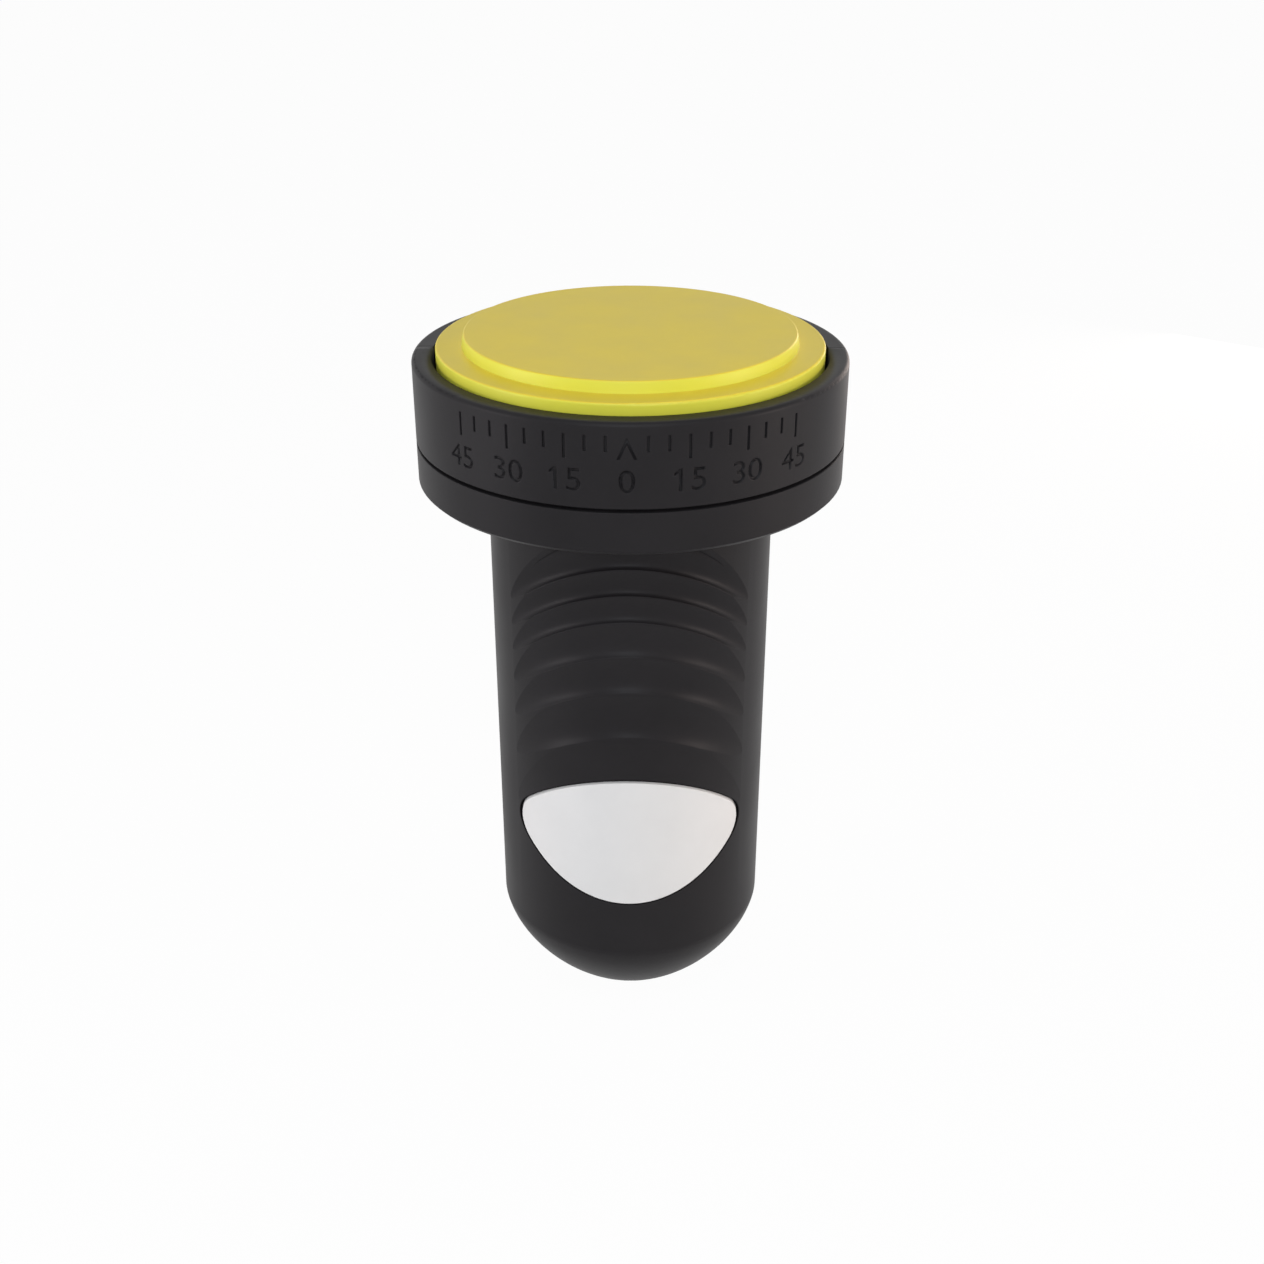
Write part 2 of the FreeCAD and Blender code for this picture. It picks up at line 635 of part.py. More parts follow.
horn_form = revolved("horn_form", "XZ_Plane", horn_outline)

INNER = f"({TRACK_RADIUS} - track_wall - bulkhead_gap)"
TRAY_HALF = f"sqrt({INNER}^2 - {LID_SEAT}^2)"
LID_HALF = f"sqrt({INNER}^2 - {LID_TOP}^2)"
POCKET_HALF = f"({TRAY_HALF} - tray_wall)"
tray = box("tray_block", (f"-{TRAY_HALF}", 0, "-casting_end"), (TRAY_HALF, LID_SEAT, "-tray_top"))
pocket = box("board_pocket", (f"-{POCKET_HALF}", "tray_floor", "-casting_end + tray_end_wall"),
             (POCKET_HALF, "neck_radius", "-tray_top - tray_end_wall"))
guide_bore = cylinder("guide_bore", "waveguide_radius", BIG, (0, 0, "-waveguide_end"))
spigot_hole = cylinder("spigot_hole", "spigot_radius + seat_clearance", "spigot_length + seat_clearance",
                       (0, CONNECTOR_OFFSET, "-casting_end"))
CONTACT_ROOM = "3 * contact_radius"
contact_hole = cylinder("contact_hole", CONTACT_ROOM, f"casting_end - board_end + {CONTACT_ROOM}",
                        (0, CONNECTOR_OFFSET, "-casting_end"))
contact_slot = box("contact_slot", (f"-{CONTACT_ROOM}", CONNECTOR_OFFSET, f"-board_end - 2 * {CONTACT_ROOM}"),
                   (CONTACT_ROOM, LID_SEAT, f"-board_end + {CONTACT_ROOM}"))
SLEEVE_RADIUS = "(probe_radius + sleeve_wall)"
PROBES = {"one": (0, "-probe_one_depth"), "two": ("probe_two_side", "-probe_two_depth")}
sleeve_holes = [
    cylinder(f"sleeve_hole_{name}", f"{SLEEVE_RADIUS} + 0.05", "tray_floor - waveguide_radius / 2",
             (across, "waveguide_radius / 2", level), "Y")
    for name, (across, level) in PROBES.items()
]
isolation_hole = cylinder("isolation_hole", "isolation_radius + 0.05", f"4 * {GUIDE_OUTER}",
                          (f"-2 * {GUIDE_OUTER}", 0, "-isolation_depth"), "X")
SCREW_PLACES = {
    f"{end}_{letter}": (f"{sign} * screw_side", level)
    for end, level in (
        ("upper", "-tray_top - tray_end_wall / 2"),
        ("lower", "-casting_end + tray_end_wall / 2"),
    )
    for letter, sign in (("a", -1), ("b", 1))
}
lid_screw_holes = [
    cylinder(f"lid_screw_hole_{name}", "screw_radius + 0.05", "screw_depth + 0.2",
             (across, f"{LID_SEAT} - screw_depth - 0.2", level), "Y")
    for name, (across, level) in SCREW_PLACES.items()
]
keep("horn_casting", cut(
    "horn_casting_solid",
    fuse("casting_form", horn_form, tray),
    pocket, guide_bore, spigot_hole, contact_hole, contact_slot, isolation_hole,
    *sleeve_holes, *lid_screw_holes,
))

keep("cap_seal", cut(
    "seal_ring",
    cylinder("seal_outside", HORN_RADIUS, "2 * seal_section", (0, 0, f"{SEAL_TOP} - 2 * seal_section")),
    cylinder("seal_inside", f"{HORN_RADIUS} - 2 * seal_section", BIG, (0, 0, 0)),
))

# ---- feed cap: flange over the horn's rim, raised disc and skirt ----

FLANGE_END = f"({RIM} + cap_lift)"
FLANGE_TOP = f"({RIM} + cap_lift + cap_flange_height)"
DISC_TOP = f"({RIM} + cap_lift + cap_flange_height + cap_disc_height)"
cap = revolved("cap_body", "XZ_Plane", [
    (0, DISC_TOP),
    (f"{DISC_RADIUS} - cap_disc_draft", DISC_TOP),
    (DISC_RADIUS, FLANGE_TOP),
    (CAP_RADIUS, FLANGE_TOP),
    (CAP_RADIUS, f"{FLANGE_END} - cap_skirt_depth"),
    (f"{HORN_RADIUS} + seat_clearance", f"{FLANGE_END} - cap_skirt_depth"),
    (f"{HORN_RADIUS} + seat_clearance", FLANGE_END),
    (f"{DISC_RADIUS} - cap_disc_draft - cap_wall", FLANGE_END),
    (f"{DISC_RADIUS} - cap_disc_draft - cap_wall", f"{DISC_TOP} - cap_wall"),
    (0, f"{DISC_TOP} - cap_wall"),
])
round_edges(cap, "cap_disc_round", f"{DISC_RADIUS} - cap_disc_draft", DISC_TOP)
round_edges(cap, "cap_flange_round", CAP_RADIUS, FLANGE_TOP)
keep("feed_cap", cap)

# ---- label plate, bent to the tube, in its pocket ----

label_shell = cut(
    "label_bend",
    cylinder("label_outside", "neck_radius + 0.05", 2 * BIG, (0, 0, -BIG)),
    cylinder("label_inside", "neck_radius - label_thickness", 2 * BIG, (0, 0, -BIG)),
)
keep("label_plate", common("label_plate_solid", label_shell, label_prism("label_outline", "0")))

# ---- board, lid and what they carry ----

def plate(name, half_width, low, high, front, thickness):
    """A flat plate across the housing: outline seen from behind, front face and thickness."""
    body = padded(name, "XZ_Plane", [
        (f"-({half_width})", low), (half_width, low), (half_width, high), (f"-({half_width})", high),
    ], thickness)
    bind(body, "Placement.Base.y", f"{front} + {thickness}")
    return body


board_blank = plate("board_blank", f"{POCKET_HALF} - board_play", "-board_end",
                    "-tray_top - tray_end_wall - board_play", "tray_floor", "board_thickness")
probe_holes = [
    cylinder(f"probe_hole_{name}", "probe_radius + 0.05", "3 * board_thickness",
             (across, "tray_floor - board_thickness", level), "Y")
    for name, (across, level) in PROBES.items()
]
keep("rf_board", cut("rf_board_solid", board_blank, *probe_holes))

lid_blank = plate("lid_blank", LID_HALF, "-casting_end", "-tray_top", LID_SEAT, "lid_thickness")
TUNERS = {"a": "-puck_side", "b": "puck_side"}
lid_holes = [
    cylinder(f"lid_hole_{name}", "screw_radius + seat_clearance", "3 * lid_thickness",
             (across, f"{LID_SEAT} - lid_thickness", level), "Y")
    for name, (across, level) in SCREW_PLACES.items()
]
lid_holes += [
    cylinder(f"tuner_hole_{letter}", "tuner_radius + 0.05", "3 * lid_thickness",
             (across, f"{LID_SEAT} - lid_thickness", "-puck_depth"), "Y")
    for letter, across in TUNERS.items()
]
keep("chassis_lid", cut("chassis_lid_solid", lid_blank, *lid_holes))


def screw(name, radius, head_radius, tip, across, level):
    """A screw along Y through the lid, its head on the lid's outer face."""
    return fuse(
        name,
        cylinder(f"{name}_shank", radius, f"{LID_TOP} - ({tip})", (across, tip, level), "Y"),
        cylinder(f"{name}_head", head_radius, "screw_head_height", (across, LID_TOP, level), "Y"),
    )


keep("lid_screws", group("lid_screw_set", *[
    screw(f"lid_screw_{name}", "screw_radius", "2 * screw_radius", f"{LID_SEAT} - screw_depth", across, level)
    for name, (across, level) in SCREW_PLACES.items()
]))
PUCK_TOP = f"({BOARD_TOP} + puck_height)"
keep("tuning_screws", group("tuning_screw_pair", *[
    screw(f"tuning_screw_{letter}", "tuner_radius", "1.4 * tuner_radius", f"{PUCK_TOP} + tuner_gap",
          across, "-puck_depth")
    for letter, across in TUNERS.items()
]))
keep("dielectric_resonators", group("resonator_pair", *[
    cylinder(f"resonator_{letter}", "puck_radius", "puck_height", (across, BOARD_TOP, "-puck_depth"), "Y")
    for letter, across in TUNERS.items()
]))
keep("lid_absorber", box(
    "absorber_pad",
    ("-absorber_half_width", f"{LID_SEAT} - absorber_thickness", "-absorber_top - absorber_length"),
    ("absorber_half_width", LID_SEAT, "-absorber_top"),
))

# Parts soldered to the board: centre across, centre depth, width, height over the board, length.
SOLDERED = {
    "input_transistors": [
        (-3.4, 17.0, 1.8, 0.7, 1.8), (3.4, 17.0, 1.8, 0.7, 1.8), (0.0, 26.0, 1.8, 0.7, 1.8),
    ],
    "converter_chip": [(0.0, 38.1, 3.0, 0.9, 3.0)],
    "voltage_regulator": [(-4.6, 44.7, 4.4, 1.3, 3.4)],
    "filter_capacitors": [
        (2.2, 44.7, 1.2, 0.9, 2.0), (4.2, 44.7, 1.2, 0.9, 2.0), (6.2, 44.7, 1.2, 0.9, 2.0),
        (-5.6, 29.0, 1.2, 0.7, 2.0), (5.6, 24.0, 1.2, 0.7, 2.0),
    ],
}
for label, places in SOLDERED.items():
    blocks = [
        box(f"{label}_{number}",
            (across - width / 2, BOARD_TOP, -depth - length / 2),
            (across + width / 2, f"{BOARD_TOP} + {height}", -depth + length / 2))
        for number, (across, depth, width, height, length) in enumerate(places, start=1)
    ]
    keep(label, blocks[0] if len(blocks) == 1 else group(f"{label}_set", *blocks))

# ---- probes in the waveguide ----

GUIDE_FACE = "waveguide_radius - probe_reach"
keep("probe_vertical", cylinder("straight_probe", "probe_radius",
                                f"{BOARD_TOP} + probe_stub - ({GUIDE_FACE})",
                                (0, GUIDE_FACE, "-probe_one_depth"), "Y"))
keep("probe_horizontal", fuse(
    "bent_probe",
    cylinder("bent_probe_leg", "probe_radius", f"{BOARD_TOP} + probe_stub",
             ("probe_two_side", 0, "-probe_two_depth"), "Y"),
    cylinder("bent_probe_arm", "probe_radius", "probe_reach",
             ("probe_two_side - probe_reach", 0, "-probe_two_depth"), "X"),
    doc.addObject("Part::Sphere", "bent_probe_elbow"),
))
elbow = doc.getObject("bent_probe_elbow")
bind(elbow, "Radius", "probe_radius")
place(elbow, ("probe_two_side", 0, "-probe_two_depth"))

sleeves = []
for name, (across, level) in PROBES.items():
    start = f"sqrt(waveguide_radius^2 - ({across})^2)"
    sleeves.append(cut(
        f"sleeve_{name}",
        cylinder(f"sleeve_{name}_outside", SLEEVE_RADIUS, f"tray_floor - {start}",
                 (across, start, level), "Y"),
        cylinder(f"sleeve_{name}_inside", "probe_radius + 0.05", "2 * tray_floor", (across, 0, level), "Y"),
    ))
keep("probe_sleeves", group("sleeve_pair", *sleeves))
keep("isolation_pin", cylinder("isolation_bar", "isolation_radius", f"2 * {GUIDE_OUTER}",
                               (f"-{GUIDE_OUTER}", 0, "-isolation_depth"), "X"))

# ---- cable connector below the bulkhead ----

SEAL_END = f"({BULKHEAD_END} + port_seal_height)"
HEX_END = f"({BULKHEAD_END} + port_seal_height + hex_height)"
THREAD_END = f"({BULKHEAD_END} + port_seal_height + hex_height + thread_length)"


def on_connector(name, radius, deep, shallow):
    """A cylinder on the connector's axis between two depths below the collar."""
    return cylinder(name, radius, f"{deep} - ({shallow})", (0, CONNECTOR_OFFSET, f"-{deep}"))


hexagon = doc.addObject("Part::Prism", "connector_hexagon")
hexagon.Polygon = 6
bind(hexagon, "Circumradius", "hex_flats / sqrt(3)")
bind(hexagon, "Height", "hex_height")
place(hexagon, (0, CONNECTOR_OFFSET, f"-{HEX_END}"))
keep("f_connector_shell", cut(
    "connector_turned",
    fuse("connector_form",
         on_connector("connector_thread", "thread_radius", THREAD_END, "casting_end"),
         on_connector("connector_spigot", "spigot_radius", "casting_end", "casting_end - spigot_length"),
         hexagon),
    on_connector("connector_inside", "connector_bore", f"2 * {THREAD_END}", 0),
))
keep("f_connector_insulator", cut(
    "insulator_turned",
    on_connector("insulator_outside", "connector_bore - 0.05", f"({THREAD_END} - 0.3)",
                 "casting_end - spigot_length"),
    on_connector("insulator_hole", "contact_radius + 0.05", f"2 * {THREAD_END}", 0),
))
keep("f_connector_contact", fuse(
    "contact_form",
    on_connector("contact_pin", "contact_radius", f"({THREAD_END} - 0.6)", "board_end + contact_radius"),
    cylinder("contact_tail", "contact_radius", f"tray_floor + board_thickness / 2 - {CONNECTOR_OFFSET}",
             (0, CONNECTOR_OFFSET, "-board_end - contact_radius"), "Y"),
))
keep("f_connector_seal", cut(
    "port_seal",
    on_connector("port_seal_outside", "thread_radius + 0.05 + port_seal_wall", SEAL_END, BULKHEAD_END),
    on_connector("port_seal_inside", "thread_radius + 0.05", f"2 * {SEAL_END}", 0),
))

# ---- sliding weather cover ----

cover_bar = half(
    "cover_bar_half",
    rounded_bar("cover_bar", size("neck_radius"), size("end_height"), -size("cover_top")),
    "rear", "cover_clearance",
)
cover_inside = cylinder("cover_inside", "neck_radius - cover_wall", BIG, (0, 0, -BIG))
cover_below = cylinder("cover_below", "head_radius", BIG, (0, 0, f"-cover_end - {BIG}"))
runners = [
    box(f"runner_{letter}",
        (low, "groove_front + runner_play", "-cover_top - runner_drop - runner_length"),
        (high, "groove_front + groove_width - runner_play", "-cover_top - runner_drop"))
    for letter, low, high in (
        ("a", f"-({TRACK_RADIUS} + cover_wall / 2)", f"-({TRACK_RADIUS} - groove_depth + runner_play)"),
        ("b", f"{TRACK_RADIUS} - groove_depth + runner_play", f"{TRACK_RADIUS} + cover_wall / 2"),
    )
]
ribs = [
    cylinder(f"cover_rib_{number}", "rib_radius", "2 * rib_half_length",
             ("-rib_half_length", "neck_radius + rib_radius / 3",
              f"-cover_top - {number + 1.5} * rib_pitch"), "X")
    for number in range(COVER_RIBS)
]
keep("slide_cover", fuse(
    "slide_cover_solid",
    cut("cover_shell", cover_bar, cover_inside, cover_below, *ribs),
    *runners,
))

# ---- check and write ----

doc.recompute()
failed = [obj.Name for obj in doc.Objects if {"Invalid", "Error"} & set(obj.State)]
if failed:
    raise RuntimeError(f"objects that failed to build: {failed}")
for label, obj in parts.items():
    shape = obj.Shape
    if shape.isNull() or not shape.isValid() or not shape.Solids:
        raise RuntimeError(f"{label} has no valid solid")

os.makedirs("parts", exist_ok=True)
for label, obj in parts.items():
    obj.Shape.exportStep(os.path.join("parts", f"{label}.step"))
print(f"{len(parts)} sub-parts written")
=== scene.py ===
"""Looks of an inline satellite downconverter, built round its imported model."""

import json
import math

import bmesh
import bpy
from mathutils import Matrix, Vector


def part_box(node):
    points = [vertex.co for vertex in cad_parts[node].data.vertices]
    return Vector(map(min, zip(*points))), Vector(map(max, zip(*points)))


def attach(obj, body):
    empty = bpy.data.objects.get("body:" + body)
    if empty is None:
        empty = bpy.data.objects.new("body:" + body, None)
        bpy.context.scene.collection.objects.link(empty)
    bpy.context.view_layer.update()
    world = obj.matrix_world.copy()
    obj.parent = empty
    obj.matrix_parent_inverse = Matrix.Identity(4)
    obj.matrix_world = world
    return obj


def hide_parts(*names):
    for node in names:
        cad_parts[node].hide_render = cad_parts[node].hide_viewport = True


bl_info = {
    "name": "Inline Downconverter",
    "version": (1, 0, 0),
    "blender": (4, 5, 0),
    "location": "View3D > Sidebar > Downconverter",
    "description": "Finishes and fine parts of an inline satellite downconverter",
    "category": "Object",
}

MM = 0.001

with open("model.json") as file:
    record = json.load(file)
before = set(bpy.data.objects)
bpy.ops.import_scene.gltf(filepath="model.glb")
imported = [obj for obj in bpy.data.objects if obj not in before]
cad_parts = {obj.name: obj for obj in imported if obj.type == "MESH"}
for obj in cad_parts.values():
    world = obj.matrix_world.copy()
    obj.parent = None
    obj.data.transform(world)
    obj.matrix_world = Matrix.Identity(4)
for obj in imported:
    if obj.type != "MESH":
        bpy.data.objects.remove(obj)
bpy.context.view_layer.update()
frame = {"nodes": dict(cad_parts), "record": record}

RING_LOW, RING_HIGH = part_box("scale_ring_front")
HEAD_RADIUS = -RING_LOW.y
RIM_HEIGHT = RING_HIGH.z
TIP_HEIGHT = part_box("front_shell")[0].z
CONNECTOR_LOW, CONNECTOR_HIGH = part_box("f_connector_shell")
CONNECTOR_AXIS = Vector((0, (CONNECTOR_LOW.y + CONNECTOR_HIGH.y) / 2, 0))
THREAD = next(mount for mount in frame["record"]["mounts"] if mount["name"] == "cable_connector")
THREAD_RADIUS = THREAD["dims"]["r_mm"] * MM
THREAD_LENGTH = THREAD["dims"]["length_mm"] * MM

# Points nearer than this are one: in a CAD mesh, and in a font's own units.
MERGE = 0.0005 * MM
FONT_MERGE = 1e-5

# What counts as the ring's cylinder wall: its faces' slope, and how far chords may lie inside it.
UPRIGHT = 0.1
WALL_SLACK = 0.03 * MM

# Slopes of the cap's faces between which the painted light of the upright walls turns to the plain
# colour.
LIT_WALL_SLOPE = 0.35
PLAIN_SLOPE = 0.8

# Fineness of the connector, the shape of its thread, and the chamfer of its hexagon as a share of
# how far a corner stands out beyond the flats.
THREAD_SIDES = 48
BODY_SIDES = 64
HEXAGON_SIDES = 72
ROWS_PER_PITCH = 8
FLANK_SLOPE = 1.6
ROOT_WIDTH = 0.3
HEXAGON_CHAMFER = 0.6
SHARP_CONNECTOR = math.radians(38)

# Half the floor's side in metres, and how much of it is seen as plain white. The rest keeps the
# shadow.
FLOOR_HALF = 3.0
FLOOR_WHITE = 0.965


# ---- sizes and colours that a user would change ----

def length(name, description, default):
    """A length in metres."""
    return bpy.props.FloatProperty(name=name, description=description, default=default,
                                   unit="LENGTH", subtype="DISTANCE", precision=5)


def angle(name, description, default):
    """An angle, given in degrees."""
    return bpy.props.FloatProperty(name=name, description=description,
                                   default=math.radians(default), unit="ROTATION", subtype="ANGLE")


def colour(name, description, default):
    """A linear colour."""
    return bpy.props.FloatVectorProperty(name=name, description=description, default=default,
                                         size=3, min=0, max=1, subtype="COLOR")


def amount(name, description, default):
    """A number without a unit."""
    return bpy.props.FloatProperty(name=name, description=description, default=default)


def factor(name, description, default):
    """A share from 0 to 1."""
    return bpy.props.FloatProperty(name=name, description=description, default=default,
                                   min=0, max=1, subtype="FACTOR")


class HousingFinish(bpy.types.PropertyGroup):
    """The moulded black housing, scale ring and sliding cover."""
    plastic: colour("Plastic", "Colour of the black moulded plastic", (0.0160, 0.0149, 0.0160))
    roughness: factor("Roughness", "Roughness of the moulded surface", 0.44)
    grain: length("Grain", "Size of the moulding grain", 0.28 * MM)
    grain_depth: length("Grain depth", "Depth of the moulding grain", 0.006 * MM)
    edge: length("Edge", "Rounding of the moulded edges", 0.22 * MM)


class ScaleSizes(bpy.types.PropertyGroup):
    """The engraved skew scale."""
    count: bpy.props.IntProperty(name="Ticks", description="Number of ticks", default=19, min=1)
    every: bpy.props.IntProperty(name="Tall every", description="One tall tick in so many",
                                 default=3, min=1)
    pitch: angle("Pitch", "Angle between two ticks", 5)
    width: length("Line width", "Width of the ticks and the arrow's lines", 0.36 * MM)
    depth: length("Depth", "Depth of the engraving", 0.28 * MM)
    top: length("Top", "Upper ends of the ticks below the rim", 1.6 * MM)
    tall_end: length("Tall end", "End of a tall tick below the rim", 4.7 * MM)
    short_end: length("Short end", "End of a short tick below the rim", 3.65 * MM)
    arrow_top: length("Arrow top", "Point of the zero arrow below the rim", 1.8 * MM)
    arrow_end: length("Arrow end", "Feet of the zero arrow below the rim", 4.6 * MM)
    arrow_width: length("Arrow width", "Width of the zero arrow across its feet", 2.5 * MM)
    numeral_top: length("Numeral top", "Top of the numerals below the rim", 5.95 * MM)
    numeral_height: length("Numeral height", "Height of the numerals", 2.95 * MM)
    flag: length("Flag", "Reach of the flag on a figure one", 0.55 * MM)
    numeral_stretch: factor("Numeral stretch",
                            "Width of the numerals as a share of twice the font's", 0.55)


class CapFinish(bpy.types.PropertyGroup):
    """The yellow feed cap."""
    plastic: colour("Plastic", "Colour of the yellow plastic", (0.845, 0.66, 0.058))
    # Painted light: the brighter lemon yellow given to the cap's upright walls.
    wall: colour("Wall", "Colour of the thin upright walls", (0.74, 0.72, 0.07))
    roughness: factor("Roughness", "Roughness of the satin surface", 0.45)
    glow: length("Glow", "How far light spreads inside the plastic", 0.4 * MM)


class LabelFinish(bpy.types.PropertyGroup):
    """The bare label plate."""
    film: colour("Film", "Colour of the label film", (0.69, 0.69, 0.675))
    roughness: factor("Roughness", "Roughness of the film", 0.38)


class ConnectorSizes(bpy.types.PropertyGroup):
    """The threaded cable connector."""
    pitch: length("Pitch", "Pitch of the thread", 25.4 / 32 * MM)
    depth: length("Thread depth", "Depth of the thread", 0.45 * MM)
    bore: length("Bore", "Inside radius of the connector", 3.25 * MM)
    hexagon_height: length("Hexagon", "Height of the hexagon", 2.0 * MM)
    spigot: length("Spigot", "Radius of the spigot in the casting", 3.7 * MM)
    spigot_length: length("Spigot length", "Length of the spigot in the casting", 2.5 * MM)
    chamfer: length("Lead-in", "Chamfer at the thread's end", 0.5 * MM)


class ScrewSizes(bpy.types.PropertyGroup):
    """The cross recess in a collar screw's head."""
    width: length("Width", "Width of the cross", 1.7 * MM)
    slot: length("Slot", "Width of each slot", 0.42 * MM)
    depth: length("Depth", "Depth of the recess", 0.7 * MM)
    turn: angle("Turn", "How far the cross is turned", 23)


class StageSizes(bpy.types.PropertyGroup):
    """Camera, lamps and floor."""
    distance: length("Distance", "Camera to its target", 229.4 * MM)
    azimuth: angle("Azimuth", "Camera's turn to the right of the label", 0.85)
    elevation: angle("Elevation", "Height of the camera above the horizon", 27.3)
    target: length("Target", "Height of the camera's target on the axis", -25.72 * MM)
    lens: amount("Lens", "Focal length in millimetres on a 36 mm sensor", 44.09)
    shift: amount("Shift", "Sideways shift of the lens", 0.0012)
    lamp: amount("Lamp level", "Level of the soft lamps", 1.0)
    world: amount("World level", "Level of the surrounding light", 0.30)


# ---- meshes ----

def settings(name):
    """One group of the scene's settings."""
    return getattr(bpy.context.scene, name)


def add_object(name, mesh):
    """A new object at the origin that shows the mesh."""
    obj = bpy.data.objects.new(name, mesh)
    bpy.context.scene.collection.objects.link(obj)
    return obj


def mesh_from(name, bm):
    """The finished mesh of a bmesh."""
    mesh = bpy.data.meshes.new(name)
    bm.to_mesh(mesh)
    bm.free()
    return mesh


def soften(mesh, limit=math.radians(30)):
    """Smooth shading between faces that meet at less than the limit."""
    mesh.shade_smooth()
    mesh.set_sharp_from_angle(angle=limit)


def merged_copy(node):
    """A copy of a CAD node's mesh, with its loose triangles joined."""
    bm = bmesh.new()
    bm.from_mesh(frame["nodes"][node].data)
    bmesh.ops.remove_doubles(bm, verts=bm.verts, dist=MERGE)
    return mesh_from(f"{node}_merged", bm)


def applied(obj):
    """The object's mesh with its modifiers applied, as a new plain mesh."""
    graph = bpy.context.evaluated_depsgraph_get()
    return bpy.data.meshes.new_from_object(obj.evaluated_get(graph), depsgraph=graph)


def carve(base_mesh, cutters, name):
    """The base mesh with every cutter object taken out of it. The cutters are removed."""
    base = add_object(name, base_mesh)
    for cutter in cutters:
        boolean = base.modifiers.new(cutter.name, "BOOLEAN")
        boolean.object = cutter
        boolean.operation = "DIFFERENCE"
        boolean.solver = "EXACT"
    mesh = applied(base)
    for obj in [*cutters, base]:
        bpy.data.objects.remove(obj)
    return mesh


def on_ring(mesh, azimuth, radius):
    """Wrap a flat mesh in the XZ plane round the ring. Its Y is the distance in from the wall."""
    for vertex in mesh.vertices:
        x, y, z = vertex.co
        turn = azimuth + x / radius
        reach = radius - y
        vertex.co = (reach * math.sin(turn), -reach * math.cos(turn), z)


def prism(bm, outline, near, far):
    """A closed prism along Y over an outline of (x, z) points that runs clockwise seen from -Y."""
    rings = [[bm.verts.new((x, y, z)) for x, z in outline] for y in (near, far)]
    bm.faces.new(rings[0])
    bm.faces.new(list(reversed(rings[1])))
    count = len(outline)
    for i in range(count):
        j = (i + 1) % count
        bm.faces.new((rings[0][j], rings[0][i], rings[1][i], rings[1][j]))


def turned_rows(bm, rows, count, centre):
    """A closed body of rings round the Z axis at the centre.

    Each row is a function from a ring's angle to its (radius, height). The last row joins the
    first.
    """
    rings = []
    for row in rows:
        ring = []
        for i in range(count):
            turn = 2 * math.pi * i / count
            radius, height = row(turn)
            place = Vector((radius * math.cos(turn), radius * math.sin(turn), height))
            ring.append(bm.verts.new(centre + place))
        rings.append(ring)
    for a, b in zip(rings, rings[1:] + rings[:1]):
        for i in range(count):
            j = (i + 1) % count
            bm.faces.new((a[i], a[j], b[j], b[i]))


# ---- node materials ----

def add(tree, kind, inputs=None, **values):
    """A node with its settings, its sockets set to values or linked to other sockets."""
    node = tree.nodes.new(kind)
    for name, value in values.items():
        setattr(node, name, value)
    for key, value in (inputs or {}).items():
        if isinstance(value, bpy.types.NodeSocket):
            tree.links.new(value, node.inputs[key])
        else:
            node.inputs[key].default_value = value
    return node


def new_material(name):
    """An empty node material and its tree."""
    material = bpy.data.materials.new(name)
    material.use_nodes = True
    material.node_tree.nodes.clear()
    return material, material.node_tree


def rgba(values):
    """A colour with full alpha."""
    return (*values, 1.0)


def tinted(tree, source, dark, light, low=0.3, high=0.7):
    """Two colours spread over a noise value."""
    ramp = add(tree, "ShaderNodeMapRange", {"Value": source, "From Min": low, "From Max": high})
    mix = add(tree, "ShaderNodeMix", {}, data_type="RGBA")
    tree.links.new(ramp.outputs["Result"], mix.inputs["Factor"])
    mix.inputs[6].default_value = rgba(dark)
    mix.inputs[7].default_value = rgba(light)
    return mix.outputs[2]


def surface(name, dark, light, patch, roughness, grain, grain_depth, edge=0.0, stretch=(1, 1, 1),
            **shader):
    """A finish from Object coordinates.

    The colour drifts from dark to light over patches of the given size, the roughness runs
    between its two values, and a fine grain makes the bump. The edge is the rounding that
    catches the light.
    """
    material, tree = new_material(name)
    place = add(tree, "ShaderNodeTexCoord").outputs["Object"]
    fine = add(tree, "ShaderNodeMapping", {"Vector": place, "Scale": stretch}).outputs["Vector"]
    drift = add(tree, "ShaderNodeTexNoise", {"Vector": place, "Scale": 1 / patch, "Detail": 3.0})
    speckle = add(tree, "ShaderNodeTexNoise", {"Vector": fine, "Scale": 1 / grain, "Detail": 2.0})
    polish = add(tree, "ShaderNodeMapRange", {
        "Value": drift.outputs["Fac"], "From Min": 0.3, "From Max": 0.7,
        "To Min": roughness[0], "To Max": roughness[1]})
    bump = add(tree, "ShaderNodeBump", {
        "Height": speckle.outputs["Fac"], "Distance": grain_depth, "Strength": 1.0})
    if edge:
        rounding = add(tree, "ShaderNodeBevel", {"Radius": edge}, samples=6)
        tree.links.new(rounding.outputs["Normal"], bump.inputs["Normal"])
    shading = add(tree, "ShaderNodeBsdfPrincipled", {
        "Base Color": tinted(tree, drift.outputs["Fac"], dark, light),
        "Roughness": polish.outputs["Result"],
        "Normal": bump.outputs["Normal"],
        **shader,
    })
    add(tree, "ShaderNodeOutputMaterial", {"Surface": shading.outputs["BSDF"]})
    return material


def shade(base, share):
    """A colour made darker or lighter by a share."""
    return tuple(min(1.0, value * share) for value in base)


def dress(obj, material):
    """Give every face of the object the material."""
    obj.data.materials.clear()
    obj.data.materials.append(material)


def moulded_black(name):
    """The black plastic of the housing."""
    look = settings("housing_finish")
    return surface(name, shade(look.plastic, 0.9), shade(look.plastic, 1.1), 14 * MM,
                   (look.roughness - 0.03, look.roughness + 0.04), look.grain, look.grain_depth,
                   edge=look.edge, IOR=1.2)


# ---- geometry nodes ----

def calc(tree, operation, first, second=0.0):
    """The result of a math node."""
    return add(tree, "ShaderNodeMath", {0: first, 1: second}, operation=operation).outputs[0]


